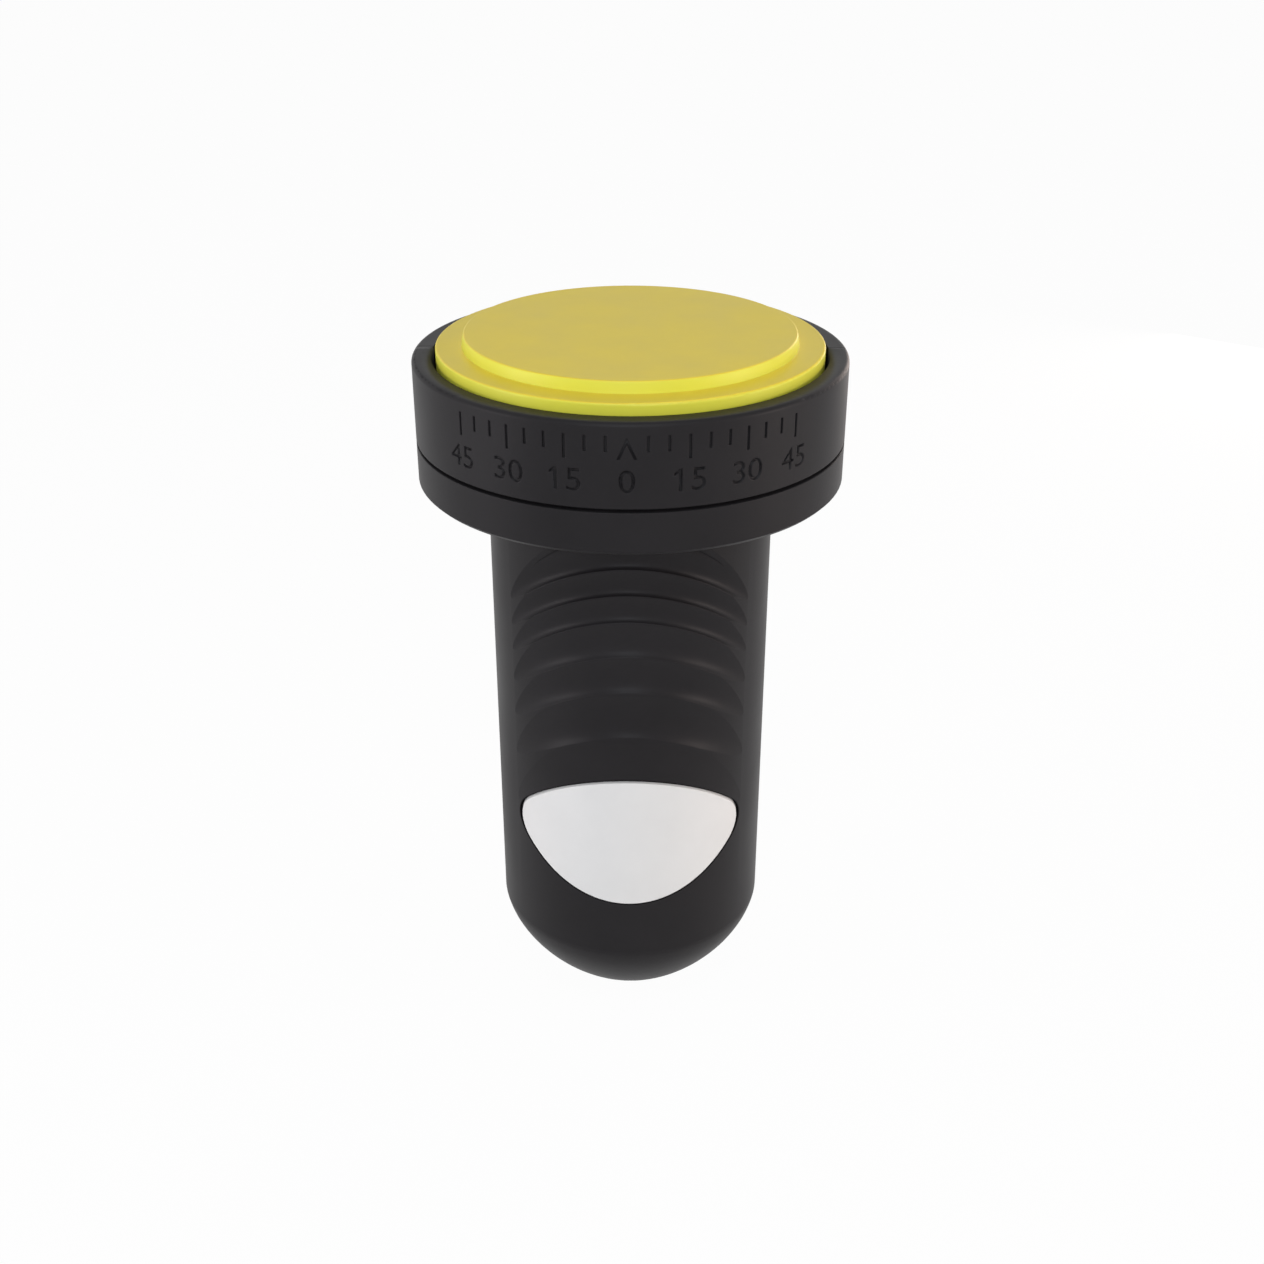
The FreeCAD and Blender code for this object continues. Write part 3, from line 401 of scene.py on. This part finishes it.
def block_tree(name, counts, measures):
    """A geometry node tree with its named inputs, and the sockets that they come from."""
    tree = bpy.data.node_groups.new(name, "GeometryNodeTree")
    kinds = {**dict.fromkeys(counts, "Int"), **dict.fromkeys(measures, "Float"),
             "Material": "Material"}
    for socket, kind in kinds.items():
        tree.interface.new_socket(socket, in_out="INPUT", socket_type=f"NodeSocket{kind}")
    tree.interface.new_socket("Geometry", in_out="OUTPUT", socket_type="NodeSocketGeometry")
    return tree, add(tree, "NodeGroupInput").outputs


def place_blocks(tree, given, count, place, facing, stature, selection=True):
    """End the tree in one block on each of its points, as a solid of the given material."""
    points = add(tree, "GeometryNodeMeshLine", {"Count": count})
    placed = add(tree, "GeometryNodeSetPosition",
                 {"Geometry": points.outputs[0], "Position": place.outputs[0]})
    block = add(tree, "GeometryNodeMeshCube", {"Size": (1.0, 1.0, 1.0)})
    blocks = add(tree, "GeometryNodeInstanceOnPoints", {
        "Points": placed.outputs[0], "Selection": selection, "Instance": block.outputs["Mesh"],
        "Rotation": facing.outputs[0], "Scale": stature.outputs[0]})
    solid = add(tree, "GeometryNodeRealizeInstances", {"Geometry": blocks.outputs[0]})
    finished = add(tree, "GeometryNodeSetMaterial",
                   {"Geometry": solid.outputs[0], "Material": given["Material"]})
    add(tree, "NodeGroupOutput", {"Geometry": finished.outputs[0]})
    return tree


def grown(name, tree, values):
    """The plain mesh that a node tree makes from its named inputs."""
    holder = add_object(name, bpy.data.meshes.new(name))
    modifier = holder.modifiers.new(tree.name, "NODES")
    modifier.node_group = tree
    for item in tree.interface.items_tree:
        if item.in_out == "INPUT" and item.name in values:
            modifier[item.identifier] = values[item.name]
    mesh = applied(holder)
    bpy.data.objects.remove(holder)
    return mesh


# ---- pieces ----

class DressHousing(bpy.types.Operator):
    """Give the housing halves and the sliding cover their moulded black finish."""
    bl_idname = "downconverter.dress_housing"
    bl_label = "Housing"

    def execute(self, context):
        material = moulded_black("moulded_black")
        for node in ("front_shell", "rear_shell", "slide_cover", "scale_ring_rear"):
            dress(frame["nodes"][node], material)
        return {"FINISHED"}


def tick_tree():
    """Geometry nodes for the tick cutters: a block per tick, some of them tall, none at zero."""
    tree, given = block_tree("scale_ticks", ("Count", "Every"), (
        "Pitch", "Radius", "Width", "Depth", "Rim", "Top", "Tall End", "Short End"))
    number = add(tree, "GeometryNodeInputIndex").outputs[0]
    middle = calc(tree, "DIVIDE", calc(tree, "SUBTRACT", given["Count"], 1.0), 2.0)
    steps = calc(tree, "SUBTRACT", number, middle)
    turn = calc(tree, "MULTIPLY", steps, given["Pitch"])
    is_tall = calc(tree, "COMPARE", calc(tree, "MODULO", steps, given["Every"]), 0.0)
    is_zero = calc(tree, "COMPARE", steps, 0.0)
    top = given["Top"]
    end = add(tree, "GeometryNodeSwitch", {
        "Switch": is_tall, "False": given["Short End"], "True": given["Tall End"]},
        input_type="FLOAT").outputs[0]
    drop = calc(tree, "DIVIDE", calc(tree, "ADD", top, end), 2.0)
    level = calc(tree, "SUBTRACT", given["Rim"], drop)
    ahead = calc(tree, "MULTIPLY", given["Radius"], calc(tree, "COSINE", turn))
    place = add(tree, "ShaderNodeCombineXYZ", {
        "X": calc(tree, "MULTIPLY", given["Radius"], calc(tree, "SINE", turn)),
        "Y": calc(tree, "MULTIPLY", ahead, -1.0),
        "Z": level})
    facing = add(tree, "ShaderNodeCombineXYZ", {"Z": turn})
    stature = add(tree, "ShaderNodeCombineXYZ", {
        "X": given["Width"], "Y": calc(tree, "MULTIPLY", given["Depth"], 2.0),
        "Z": calc(tree, "SUBTRACT", end, top)})
    return place_blocks(tree, given, given["Count"], place, facing, stature,
                        calc(tree, "SUBTRACT", 1.0, is_zero))


def numeral_mesh(text, sizes):
    """Figures centred on X, from the wall in to the engraving's depth and as far out."""
    curve = bpy.data.curves.new(f"numeral_{text}", "FONT")
    curve.body = text
    curve.align_x = "CENTER"
    curve.extrude = 1.0
    curve.resolution_u = 4
    holder = add_object(curve.name, curve)
    mesh = applied(holder)
    bpy.data.objects.remove(holder)
    bm = bmesh.new()
    bm.from_mesh(mesh)
    bmesh.ops.remove_doubles(bm, verts=bm.verts, dist=FONT_MERGE)
    heights = [vertex.co.y for vertex in bm.verts]
    foot = min(heights)
    scale = sizes.numeral_height / (max(heights) - foot)
    stretch = 2 * sizes.numeral_stretch * scale
    for vertex in bm.verts:
        x, y, z = vertex.co
        vertex.co = (x * stretch, z * sizes.depth, (y - foot) * scale)
    bmesh.ops.reverse_faces(bm, faces=bm.faces)
    return mesh_from(curve.name, bm)


class EngraveScale(bpy.types.Operator):
    """Cut the skew scale's ticks, zero arrow and numerals into the front half of the ring."""
    bl_idname = "downconverter.engrave_scale"
    bl_label = "Skew scale"

    def execute(self, context):
        sizes = settings("scale_sizes")
        material = moulded_black("moulded_black_scale")
        ticks = add_object("tick_cutters", grown("tick_cutters", tick_tree(), {
            "Count": sizes.count, "Every": sizes.every, "Pitch": sizes.pitch,
            "Radius": HEAD_RADIUS, "Width": sizes.width, "Depth": sizes.depth, "Rim": RIM_HEIGHT,
            "Top": sizes.top, "Tall End": sizes.tall_end, "Short End": sizes.short_end,
            "Material": material}))
        cutters = [ticks, self.arrow(sizes)]
        tall_pitch = sizes.pitch * sizes.every
        foot = RIM_HEIGHT - sizes.numeral_top - sizes.numeral_height
        last = sizes.count // 2 // sizes.every
        for step in range(-last, last + 1):
            text = str(round(math.degrees(abs(step) * tall_pitch)))
            meshes = [numeral_mesh(text, sizes)]
            if text.startswith("1"):
                meshes.append(self.flag(min(vertex.co.x for vertex in meshes[0].vertices), sizes))
            for mesh in meshes:
                mesh.transform(Matrix.Translation((0, 0, foot)))
                on_ring(mesh, step * tall_pitch, HEAD_RADIUS)
                cutters.append(add_object(f"{mesh.name}_cutter", mesh))
        engraved = carve(merged_copy("scale_ring_front"), cutters, "engraved_scale_ring")
        ring = add_object("engraved_scale_ring", engraved)
        soften(ring.data)
        self.smooth_wall(ring.data)
        dress(ring, material)
        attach(ring, "housing")
        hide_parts("scale_ring_front")
        return {"FINISHED"}

    def flag(self, stem, sizes):
        """The cutter of the short flag on the left of a figure one."""
        top = sizes.numeral_height
        tip = stem - sizes.flag
        root = stem + sizes.width / 4
        outline = [(tip, top - sizes.flag - sizes.width), (tip, top - sizes.flag),
                   (root, top), (root, top - sizes.width * 1.3)]
        bm = bmesh.new()
        prism(bm, outline, -sizes.depth, sizes.depth)
        bmesh.ops.recalc_face_normals(bm, faces=bm.faces)
        return mesh_from("numeral_flag", bm)

    def smooth_wall(self, mesh):
        """Let the cylinder wall between the cuts shade as one round surface."""
        normals = [corner.vector.copy() for corner in mesh.corner_normals]
        wall = HEAD_RADIUS - WALL_SLACK
        for face in mesh.polygons:
            corners = [mesh.vertices[index].co for index in face.vertices]
            upright = abs(face.normal.z) < UPRIGHT
            if upright and all(corner.xy.length > wall for corner in corners):
                for loop, corner in zip(face.loop_indices, corners):
                    normals[loop] = Vector((corner.x, corner.y, 0)).normalized()
        mesh.normals_split_custom_set(normals)

    def arrow(self, sizes):
        """The cutter of the arrow that points up at zero."""
        foot = RIM_HEIGHT - sizes.arrow_end
        top = RIM_HEIGHT - sizes.arrow_top
        reach = sizes.arrow_width / 2
        slope = math.atan2(top - foot, reach)
        across = sizes.width / math.sin(slope)
        drop = sizes.width / math.cos(slope)
        outline = [(-reach, foot), (0, top), (reach, foot), (reach - across, foot),
                   (0, top - drop), (across - reach, foot)]
        bm = bmesh.new()
        prism(bm, outline, -sizes.depth, sizes.depth)
        bmesh.ops.recalc_face_normals(bm, faces=bm.faces)
        mesh = mesh_from("arrow_cutter", bm)
        on_ring(mesh, 0, HEAD_RADIUS)
        return add_object("arrow_cutter", mesh)


class DressCap(bpy.types.Operator):
    """Give the feed cap its satin yellow plastic, and its seal a rubber finish."""
    bl_idname = "downconverter.dress_cap"
    bl_label = "Feed cap"

    def execute(self, context):
        look = settings("cap_finish")
        yellow = surface("satin_yellow", shade(look.plastic, 0.97), shade(look.plastic, 1.03),
                         9 * MM, (look.roughness - 0.03, look.roughness + 0.03),
                         0.2 * MM, 0.002 * MM,
                         edge=0.15 * MM, **{
                             "Subsurface Weight": 0.15, "Subsurface Radius": (1.0, 0.9, 0.3),
                             "Subsurface Scale": look.glow, "IOR": 1.35})
        self.tint_walls(yellow, look)
        dress(frame["nodes"]["feed_cap"], yellow)
        rubber = surface("seal_rubber", (0.012, 0.012, 0.013), (0.02, 0.02, 0.021), 3 * MM,
                         (0.6, 0.75), 0.15 * MM, 0.006 * MM)
        for node in ("cap_seal", "f_connector_seal"):
            dress(frame["nodes"][node], rubber)
        return {"FINISHED"}

    def tint_walls(self, material, look):
        """Painted light: the colour turns towards a brighter lemon on the thin upright walls."""
        tree = material.node_tree
        shading = next(node for node in tree.nodes if node.type == "BSDF_PRINCIPLED")
        plain = shading.inputs["Base Color"].links[0].from_socket
        facing = add(tree, "ShaderNodeTexCoord").outputs["Normal"]
        upward = add(tree, "ShaderNodeSeparateXYZ", {"Vector": facing}).outputs["Z"]
        level = add(tree, "ShaderNodeMath", {0: upward}, operation="ABSOLUTE").outputs[0]
        # Painted light: full on upright faces, fading out on faces that turn up or down.
        wall = add(tree, "ShaderNodeMapRange", {
            "Value": level, "From Min": LIT_WALL_SLOPE, "From Max": PLAIN_SLOPE,
            "To Min": 1.0, "To Max": 0.0})
        mix = add(tree, "ShaderNodeMix", {}, data_type="RGBA")
        tree.links.new(wall.outputs["Result"], mix.inputs["Factor"])
        tree.links.new(plain, mix.inputs[6])
        mix.inputs[7].default_value = rgba(look.wall)
        tree.links.new(mix.outputs[2], shading.inputs["Base Color"])


class DressLabel(bpy.types.Operator):
    """Give the bare label plate its off-white film."""
    bl_idname = "downconverter.dress_label"
    bl_label = "Label plate"

    def execute(self, context):
        look = settings("label_finish")
        film = surface("label_film", shade(look.film, 0.985), shade(look.film, 1.015), 5 * MM,
                       (look.roughness - 0.05, look.roughness + 0.05), 0.12 * MM, 0.0015 * MM,
                       edge=0.12 * MM, **{"Coat Weight": 0.2, "Coat Roughness": 0.3})
        dress(frame["nodes"]["label_plate"], film)
        return {"FINISHED"}


def recess_tree():
    """Geometry nodes for the slot cutters: one slot on each screw head, turned about its axis."""
    tree, given = block_tree("screw_slots", (), (
        "Spacing", "Level", "Face", "Width", "Slot", "Depth", "Turn"))
    number = add(tree, "GeometryNodeInputIndex").outputs[0]
    side = calc(tree, "SUBTRACT", calc(tree, "MULTIPLY", number, 2.0), 1.0)
    place = add(tree, "ShaderNodeCombineXYZ", {
        "X": calc(tree, "MULTIPLY", side, given["Spacing"]),
        "Y": given["Face"], "Z": given["Level"]})
    facing = add(tree, "ShaderNodeCombineXYZ", {"Y": given["Turn"]})
    stature = add(tree, "ShaderNodeCombineXYZ", {
        "X": given["Width"], "Y": calc(tree, "MULTIPLY", given["Depth"], 2.0), "Z": given["Slot"]})
    return place_blocks(tree, given, 2, place, facing, stature)


class RecessScrews(bpy.types.Operator):
    """Cut the cross recesses into the heads of the collar screws."""
    bl_idname = "downconverter.recess_screws"
    bl_label = "Collar screws"

    def execute(self, context):
        sizes = settings("screw_sizes")
        low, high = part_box("collar_screws")
        head_radius = (high.z - low.z) / 2
        zinc = surface("zinc_plate_heads", (0.50, 0.50, 0.52), (0.63, 0.62, 0.60), 1.2 * MM,
                       (0.25, 0.42), 0.15 * MM, 0.003 * MM, edge=0.1 * MM, Metallic=1.0)
        tree = recess_tree()
        cutters = [add_object(f"slot_cutter_{number}", grown(f"slot_cutter_{number}", tree, {
            "Spacing": high.x - head_radius, "Level": (low.z + high.z) / 2, "Face": high.y,
            "Width": sizes.width, "Slot": sizes.slot, "Depth": sizes.depth,
            "Turn": sizes.turn + number * math.pi / 2, "Material": zinc})) for number in range(2)]
        mesh = carve(merged_copy("collar_screws"), cutters, "recessed_collar_screws")
        screws = add_object("recessed_collar_screws", mesh)
        soften(screws.data)
        dress(screws, zinc)
        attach(screws, "housing")
        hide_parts("collar_screws")
        return {"FINISHED"}


class CutConnectorThread(bpy.types.Operator):
    """Build the cable connector with its thread, lead-in and hexagon."""
    bl_idname = "downconverter.cut_connector_thread"
    bl_label = "Cable connector"

    def execute(self, context):
        sizes = settings("connector_sizes")
        low = CONNECTOR_LOW.z
        top = CONNECTOR_HIGH.z
        hexagon_low = low + THREAD_LENGTH
        hexagon_top = hexagon_low + sizes.hexagon_height
        shoulder = top - sizes.spigot_length
        bm = bmesh.new()
        self.thread(bm, sizes, low, hexagon_low + sizes.depth)
        self.hexagon(bm, sizes, hexagon_low, hexagon_top)
        rows = [(THREAD_RADIUS, hexagon_top - sizes.depth), (THREAD_RADIUS, shoulder),
                (sizes.spigot, shoulder), (sizes.spigot, top), (sizes.bore, top),
                (sizes.bore, hexagon_top - sizes.depth)]
        turned_rows(bm, [lambda turn, row=row: row for row in rows], BODY_SIDES, CONNECTOR_AXIS)
        bmesh.ops.recalc_face_normals(bm, faces=bm.faces)
        connector = add_object("threaded_connector", mesh_from("threaded_connector", bm))
        soften(connector.data, SHARP_CONNECTOR)
        nickel = surface("nickel_plate", (0.60, 0.57, 0.52), (0.68, 0.66, 0.61), 2 * MM,
                         (0.22, 0.36), 0.3 * MM, 0.002 * MM, stretch=(1, 1, 6), Metallic=1.0)
        dress(connector, nickel)
        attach(connector, "housing")
        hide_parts("f_connector_shell")
        return {"FINISHED"}

    def thread(self, bm, sizes, low, high):
        """The threaded tube: a one-start thread that fades out at both ends."""
        count = round((high - low) / sizes.pitch * ROWS_PER_PITCH)

        def row(height):
            def at(turn):
                phase = ((height - low) / sizes.pitch - turn / (2 * math.pi)) % 1.0
                crest = min(1.0, max(0.0, FLANK_SLOPE * abs(2 * phase - 1) - ROOT_WIDTH))
                fade = min(1.0, (high - height) / sizes.pitch)
                lead_in = max(0.0, sizes.chamfer - (height - low))
                groove = sizes.depth * (1 - crest) * fade
                return THREAD_RADIUS - max(groove, lead_in), height
            return at

        rows = [row(low + (high - low) * i / count) for i in range(count + 1)]
        rows += [lambda turn: (sizes.bore, high), lambda turn: (sizes.bore, low)]
        turned_rows(bm, rows, THREAD_SIDES, CONNECTOR_AXIS)

    def hexagon(self, bm, sizes, low, high):
        """The hexagon, its corners chamfered on both sides."""
        corner = max(CONNECTOR_HIGH.x, -CONNECTOR_LOW.x)
        flat = corner * math.cos(math.pi / 6)
        chamfer = (corner - flat) * HEXAGON_CHAMFER

        def row(height, limit):
            def at(turn):
                off_flat = (turn + math.pi / 6) % (math.pi / 3) - math.pi / 6
                return min(limit, flat / math.cos(off_flat)), height
            return at

        rows = [row(low, flat), row(low + chamfer, corner), row(high - chamfer, corner),
                row(high, flat), lambda turn: (sizes.bore, high), lambda turn: (sizes.bore, low)]
        turned_rows(bm, rows, HEXAGON_SIDES, CONNECTOR_AXIS)


class DressInside(bpy.types.Operator):
    """Give the casting, the board and everything on it their finishes."""
    bl_idname = "downconverter.dress_inside"
    bl_label = "Casting and board"

    def execute(self, context):
        finishes = {
            ("horn_casting",): surface(
                "cast_aluminium", (0.42, 0.43, 0.44), (0.56, 0.57, 0.58), 4 * MM, (0.42, 0.6),
                0.35 * MM, 0.02 * MM, edge=0.15 * MM, Metallic=1.0),
            ("chassis_lid",): surface(
                "tinned_sheet", (0.55, 0.55, 0.55), (0.66, 0.66, 0.65), 3 * MM, (0.25, 0.4),
                0.2 * MM, 0.003 * MM, stretch=(1, 1, 0.1), Metallic=1.0),
            ("lid_screws", "tuning_screws"): surface(
                "zinc_plate", (0.50, 0.50, 0.52), (0.63, 0.62, 0.60), 1.2 * MM, (0.25, 0.42),
                0.15 * MM, 0.003 * MM, Metallic=1.0),
            ("lid_absorber",): surface(
                "absorber_foam", (0.015, 0.015, 0.017), (0.05, 0.05, 0.055), 0.8 * MM, (0.8, 0.95),
                0.3 * MM, 0.05 * MM),
            ("rf_board",): surface(
                "solder_mask", (0.012, 0.07, 0.028), (0.03, 0.14, 0.055), 2.5 * MM, (0.3, 0.42),
                0.8 * MM, 0.01 * MM, stretch=(1, 1, 4)),
            ("probe_vertical", "probe_horizontal", "isolation_pin", "f_connector_contact"): surface(
                "bright_brass", (0.62, 0.42, 0.16), (0.74, 0.53, 0.23), 0.8 * MM, (0.2, 0.32),
                0.1 * MM, 0.002 * MM, Metallic=1.0),
            ("probe_sleeves", "f_connector_insulator"): surface(
                "waxy_white", (0.70, 0.70, 0.67), (0.78, 0.78, 0.75), 1.5 * MM, (0.4, 0.5),
                0.2 * MM, 0.003 * MM),
            ("dielectric_resonators",): surface(
                "sintered_ceramic", (0.38, 0.29, 0.18), (0.50, 0.40, 0.27), 0.6 * MM, (0.55, 0.7),
                0.12 * MM, 0.01 * MM),
            ("input_transistors", "converter_chip", "voltage_regulator"): surface(
                "moulded_epoxy", (0.012, 0.012, 0.013), (0.022, 0.022, 0.023), 0.5 * MM,
                (0.5, 0.65), 0.08 * MM, 0.006 * MM),
            ("filter_capacitors",): surface(
                "glazed_ceramic", (0.30, 0.19, 0.09), (0.40, 0.27, 0.14), 0.5 * MM, (0.25, 0.4),
                0.1 * MM, 0.003 * MM),
        }
        for nodes, material in finishes.items():
            for node in nodes:
                dress(frame["nodes"][node], material)
        return {"FINISHED"}


class BuildStage(bpy.types.Operator):
    """Set up the floor, the soft lamps and the camera."""
    bl_idname = "downconverter.build_stage"
    bl_label = "Stage"

    def execute(self, context):
        stage = settings("stage_sizes")
        self.floor()
        self.world(context.scene, stage)
        self.lamps(stage)
        self.camera(context.scene, stage)
        context.scene.view_settings.view_transform = "Standard"
        return {"FINISHED"}

    def seen(self, tree):
        """1 where a ray from the camera, a reflection or through glass meets the surface."""
        path = add(tree, "ShaderNodeLightPath").outputs
        seen = add(tree, "ShaderNodeMath", {0: path["Is Camera Ray"], 1: path["Is Glossy Ray"]},
                   operation="ADD")
        seen = add(tree, "ShaderNodeMath", {0: seen.outputs[0], 1: path["Is Transmission Ray"]},
                   operation="ADD", use_clamp=True)
        return seen.outputs[0]

    def floor(self):
        """A pale floor that keeps the object's shadow."""
        bm = bmesh.new()
        bmesh.ops.create_grid(bm, x_segments=1, y_segments=1, size=FLOOR_HALF)
        bmesh.ops.translate(bm, verts=bm.verts, vec=(0, 0, TIP_HEIGHT))
        floor = add_object("studio_floor", mesh_from("studio_floor", bm))
        material, tree = new_material("pale_floor")
        place = add(tree, "ShaderNodeTexCoord").outputs["Object"]
        drift = add(tree, "ShaderNodeTexNoise", {"Vector": place, "Scale": 4.0})
        grey = tinted(tree, drift.outputs["Fac"], (0.80, 0.80, 0.80), (0.82, 0.82, 0.82))
        paint = add(tree, "ShaderNodeBsdfDiffuse", {"Color": grey})
        white = add(tree, "ShaderNodeEmission", {"Color": (1, 1, 1, 1), "Strength": 1.0})
        share = add(tree, "ShaderNodeMath", {0: self.seen(tree), 1: FLOOR_WHITE},
                    operation="MULTIPLY")
        mixed = add(tree, "ShaderNodeMixShader",
                    {0: share.outputs[0], 1: paint.outputs[0], 2: white.outputs[0]})
        add(tree, "ShaderNodeOutputMaterial", {"Surface": mixed.outputs[0]})
        dress(floor, material)

    def world(self, scene, stage):
        """Even light all round, seen as white."""
        world = bpy.data.worlds.new("studio_world")
        world.use_nodes = True
        tree = world.node_tree
        tree.nodes.clear()
        light = add(tree, "ShaderNodeBackground", {"Color": (1, 1, 1, 1), "Strength": stage.world})
        white = add(tree, "ShaderNodeBackground", {"Color": (1, 1, 1, 1), "Strength": 1.0})
        mixed = add(tree, "ShaderNodeMixShader",
                    {0: self.seen(tree), 1: light.outputs[0], 2: white.outputs[0]})
        add(tree, "ShaderNodeOutputWorld", {"Surface": mixed.outputs[0]})
        scene.world = world

    def lamps(self, stage):
        """Soft lamps.

        Each has its azimuth and elevation in degrees, its distance, width and height in metres,
        its power and its tint.
        """
        places = {
            "left_softbox": (-70, 6, 0.42, 0.14, 0.26, 0.85, (1.0, 0.94, 0.97)),
            "right_softbox": (74, 6, 0.42, 0.14, 0.26, 1.0, (1.0, 0.86, 0.80)),
            "rear_right_strip": (146, 8, 0.40, 0.08, 0.26, 0.4, (1.0, 0.82, 0.74)),
            "front_softbox": (-2, 27, 0.6, 0.16, 0.10, 0.95, (0.88, 0.93, 1.0)),
            "high_softbox": (0, 52, 0.5, 0.14, 0.06, 0.45, (0.88, 0.94, 1.0)),
        }
        aim = Vector((0, 0, (RIM_HEIGHT + TIP_HEIGHT) / 2))
        for name, (azimuth, elevation, distance, width, height, power, tint) in places.items():
            lamp = bpy.data.lights.new(name, "AREA")
            lamp.shape = "RECTANGLE"
            lamp.size = width
            lamp.size_y = height
            lamp.energy = power * stage.lamp
            lamp.color = tint
            obj = bpy.data.objects.new(name, lamp)
            bpy.context.scene.collection.objects.link(obj)
            back = self.direction(math.radians(azimuth), math.radians(elevation))
            obj.location = aim + back * distance
            obj.rotation_euler = (-back).to_track_quat("-Z", "Y").to_euler()

    def direction(self, azimuth, elevation):
        """From the object outwards: azimuth 0 is the label's side."""
        return Vector((math.sin(azimuth) * math.cos(elevation),
                       -math.cos(azimuth) * math.cos(elevation), math.sin(elevation)))

    def camera(self, scene, stage):
        """The camera in front of the label, above the horizon."""
        data = bpy.data.cameras.new("studio_camera")
        data.lens = stage.lens
        data.sensor_width = 36
        data.shift_x = stage.shift
        data.clip_start = 0.01
        camera = bpy.data.objects.new("studio_camera", data)
        scene.collection.objects.link(camera)
        back = self.direction(stage.azimuth, stage.elevation)
        camera.location = Vector((0, 0, stage.target)) + back * stage.distance
        camera.rotation_euler = (-back).to_track_quat("-Z", "Y").to_euler()
        scene.camera = camera


class DownconverterPanel(bpy.types.Panel):
    """Every piece and its settings."""
    bl_idname = "VIEW3D_PT_downconverter"
    bl_label = "Downconverter"
    bl_space_type = "VIEW_3D"
    bl_region_type = "UI"
    bl_category = "Downconverter"

    def draw(self, context):
        for name in SETTINGS:
            box = self.layout.box()
            group = getattr(context.scene, name)
            for key in group.bl_rna.properties.keys():
                if key not in ("rna_type", "name"):
                    box.prop(group, key)
        for operator in PIECES:
            self.layout.operator(operator.bl_idname)


SETTINGS = {
    "housing_finish": HousingFinish,
    "scale_sizes": ScaleSizes,
    "cap_finish": CapFinish,
    "label_finish": LabelFinish,
    "connector_sizes": ConnectorSizes,
    "screw_sizes": ScrewSizes,
    "stage_sizes": StageSizes,
}
PIECES = (DressHousing, EngraveScale, DressCap, DressLabel, CutConnectorThread, RecessScrews,
          DressInside, BuildStage)


def register():
    for group in (*SETTINGS.values(), *PIECES, DownconverterPanel):
        bpy.utils.register_class(group)
    for name, group in SETTINGS.items():
        setattr(bpy.types.Scene, name, bpy.props.PointerProperty(type=group))


def unregister():
    for name in SETTINGS:
        delattr(bpy.types.Scene, name)
    for group in (DownconverterPanel, *reversed(PIECES), *reversed(SETTINGS.values())):
        bpy.utils.unregister_class(group)


def main():
    register()
    bpy.ops.downconverter.dress_housing()
    bpy.ops.downconverter.engrave_scale()
    bpy.ops.downconverter.dress_cap()
    bpy.ops.downconverter.dress_label()
    bpy.ops.downconverter.cut_connector_thread()
    bpy.ops.downconverter.recess_screws()
    bpy.ops.downconverter.dress_inside()
    bpy.ops.downconverter.build_stage()


if __name__ == "__main__":
    main()
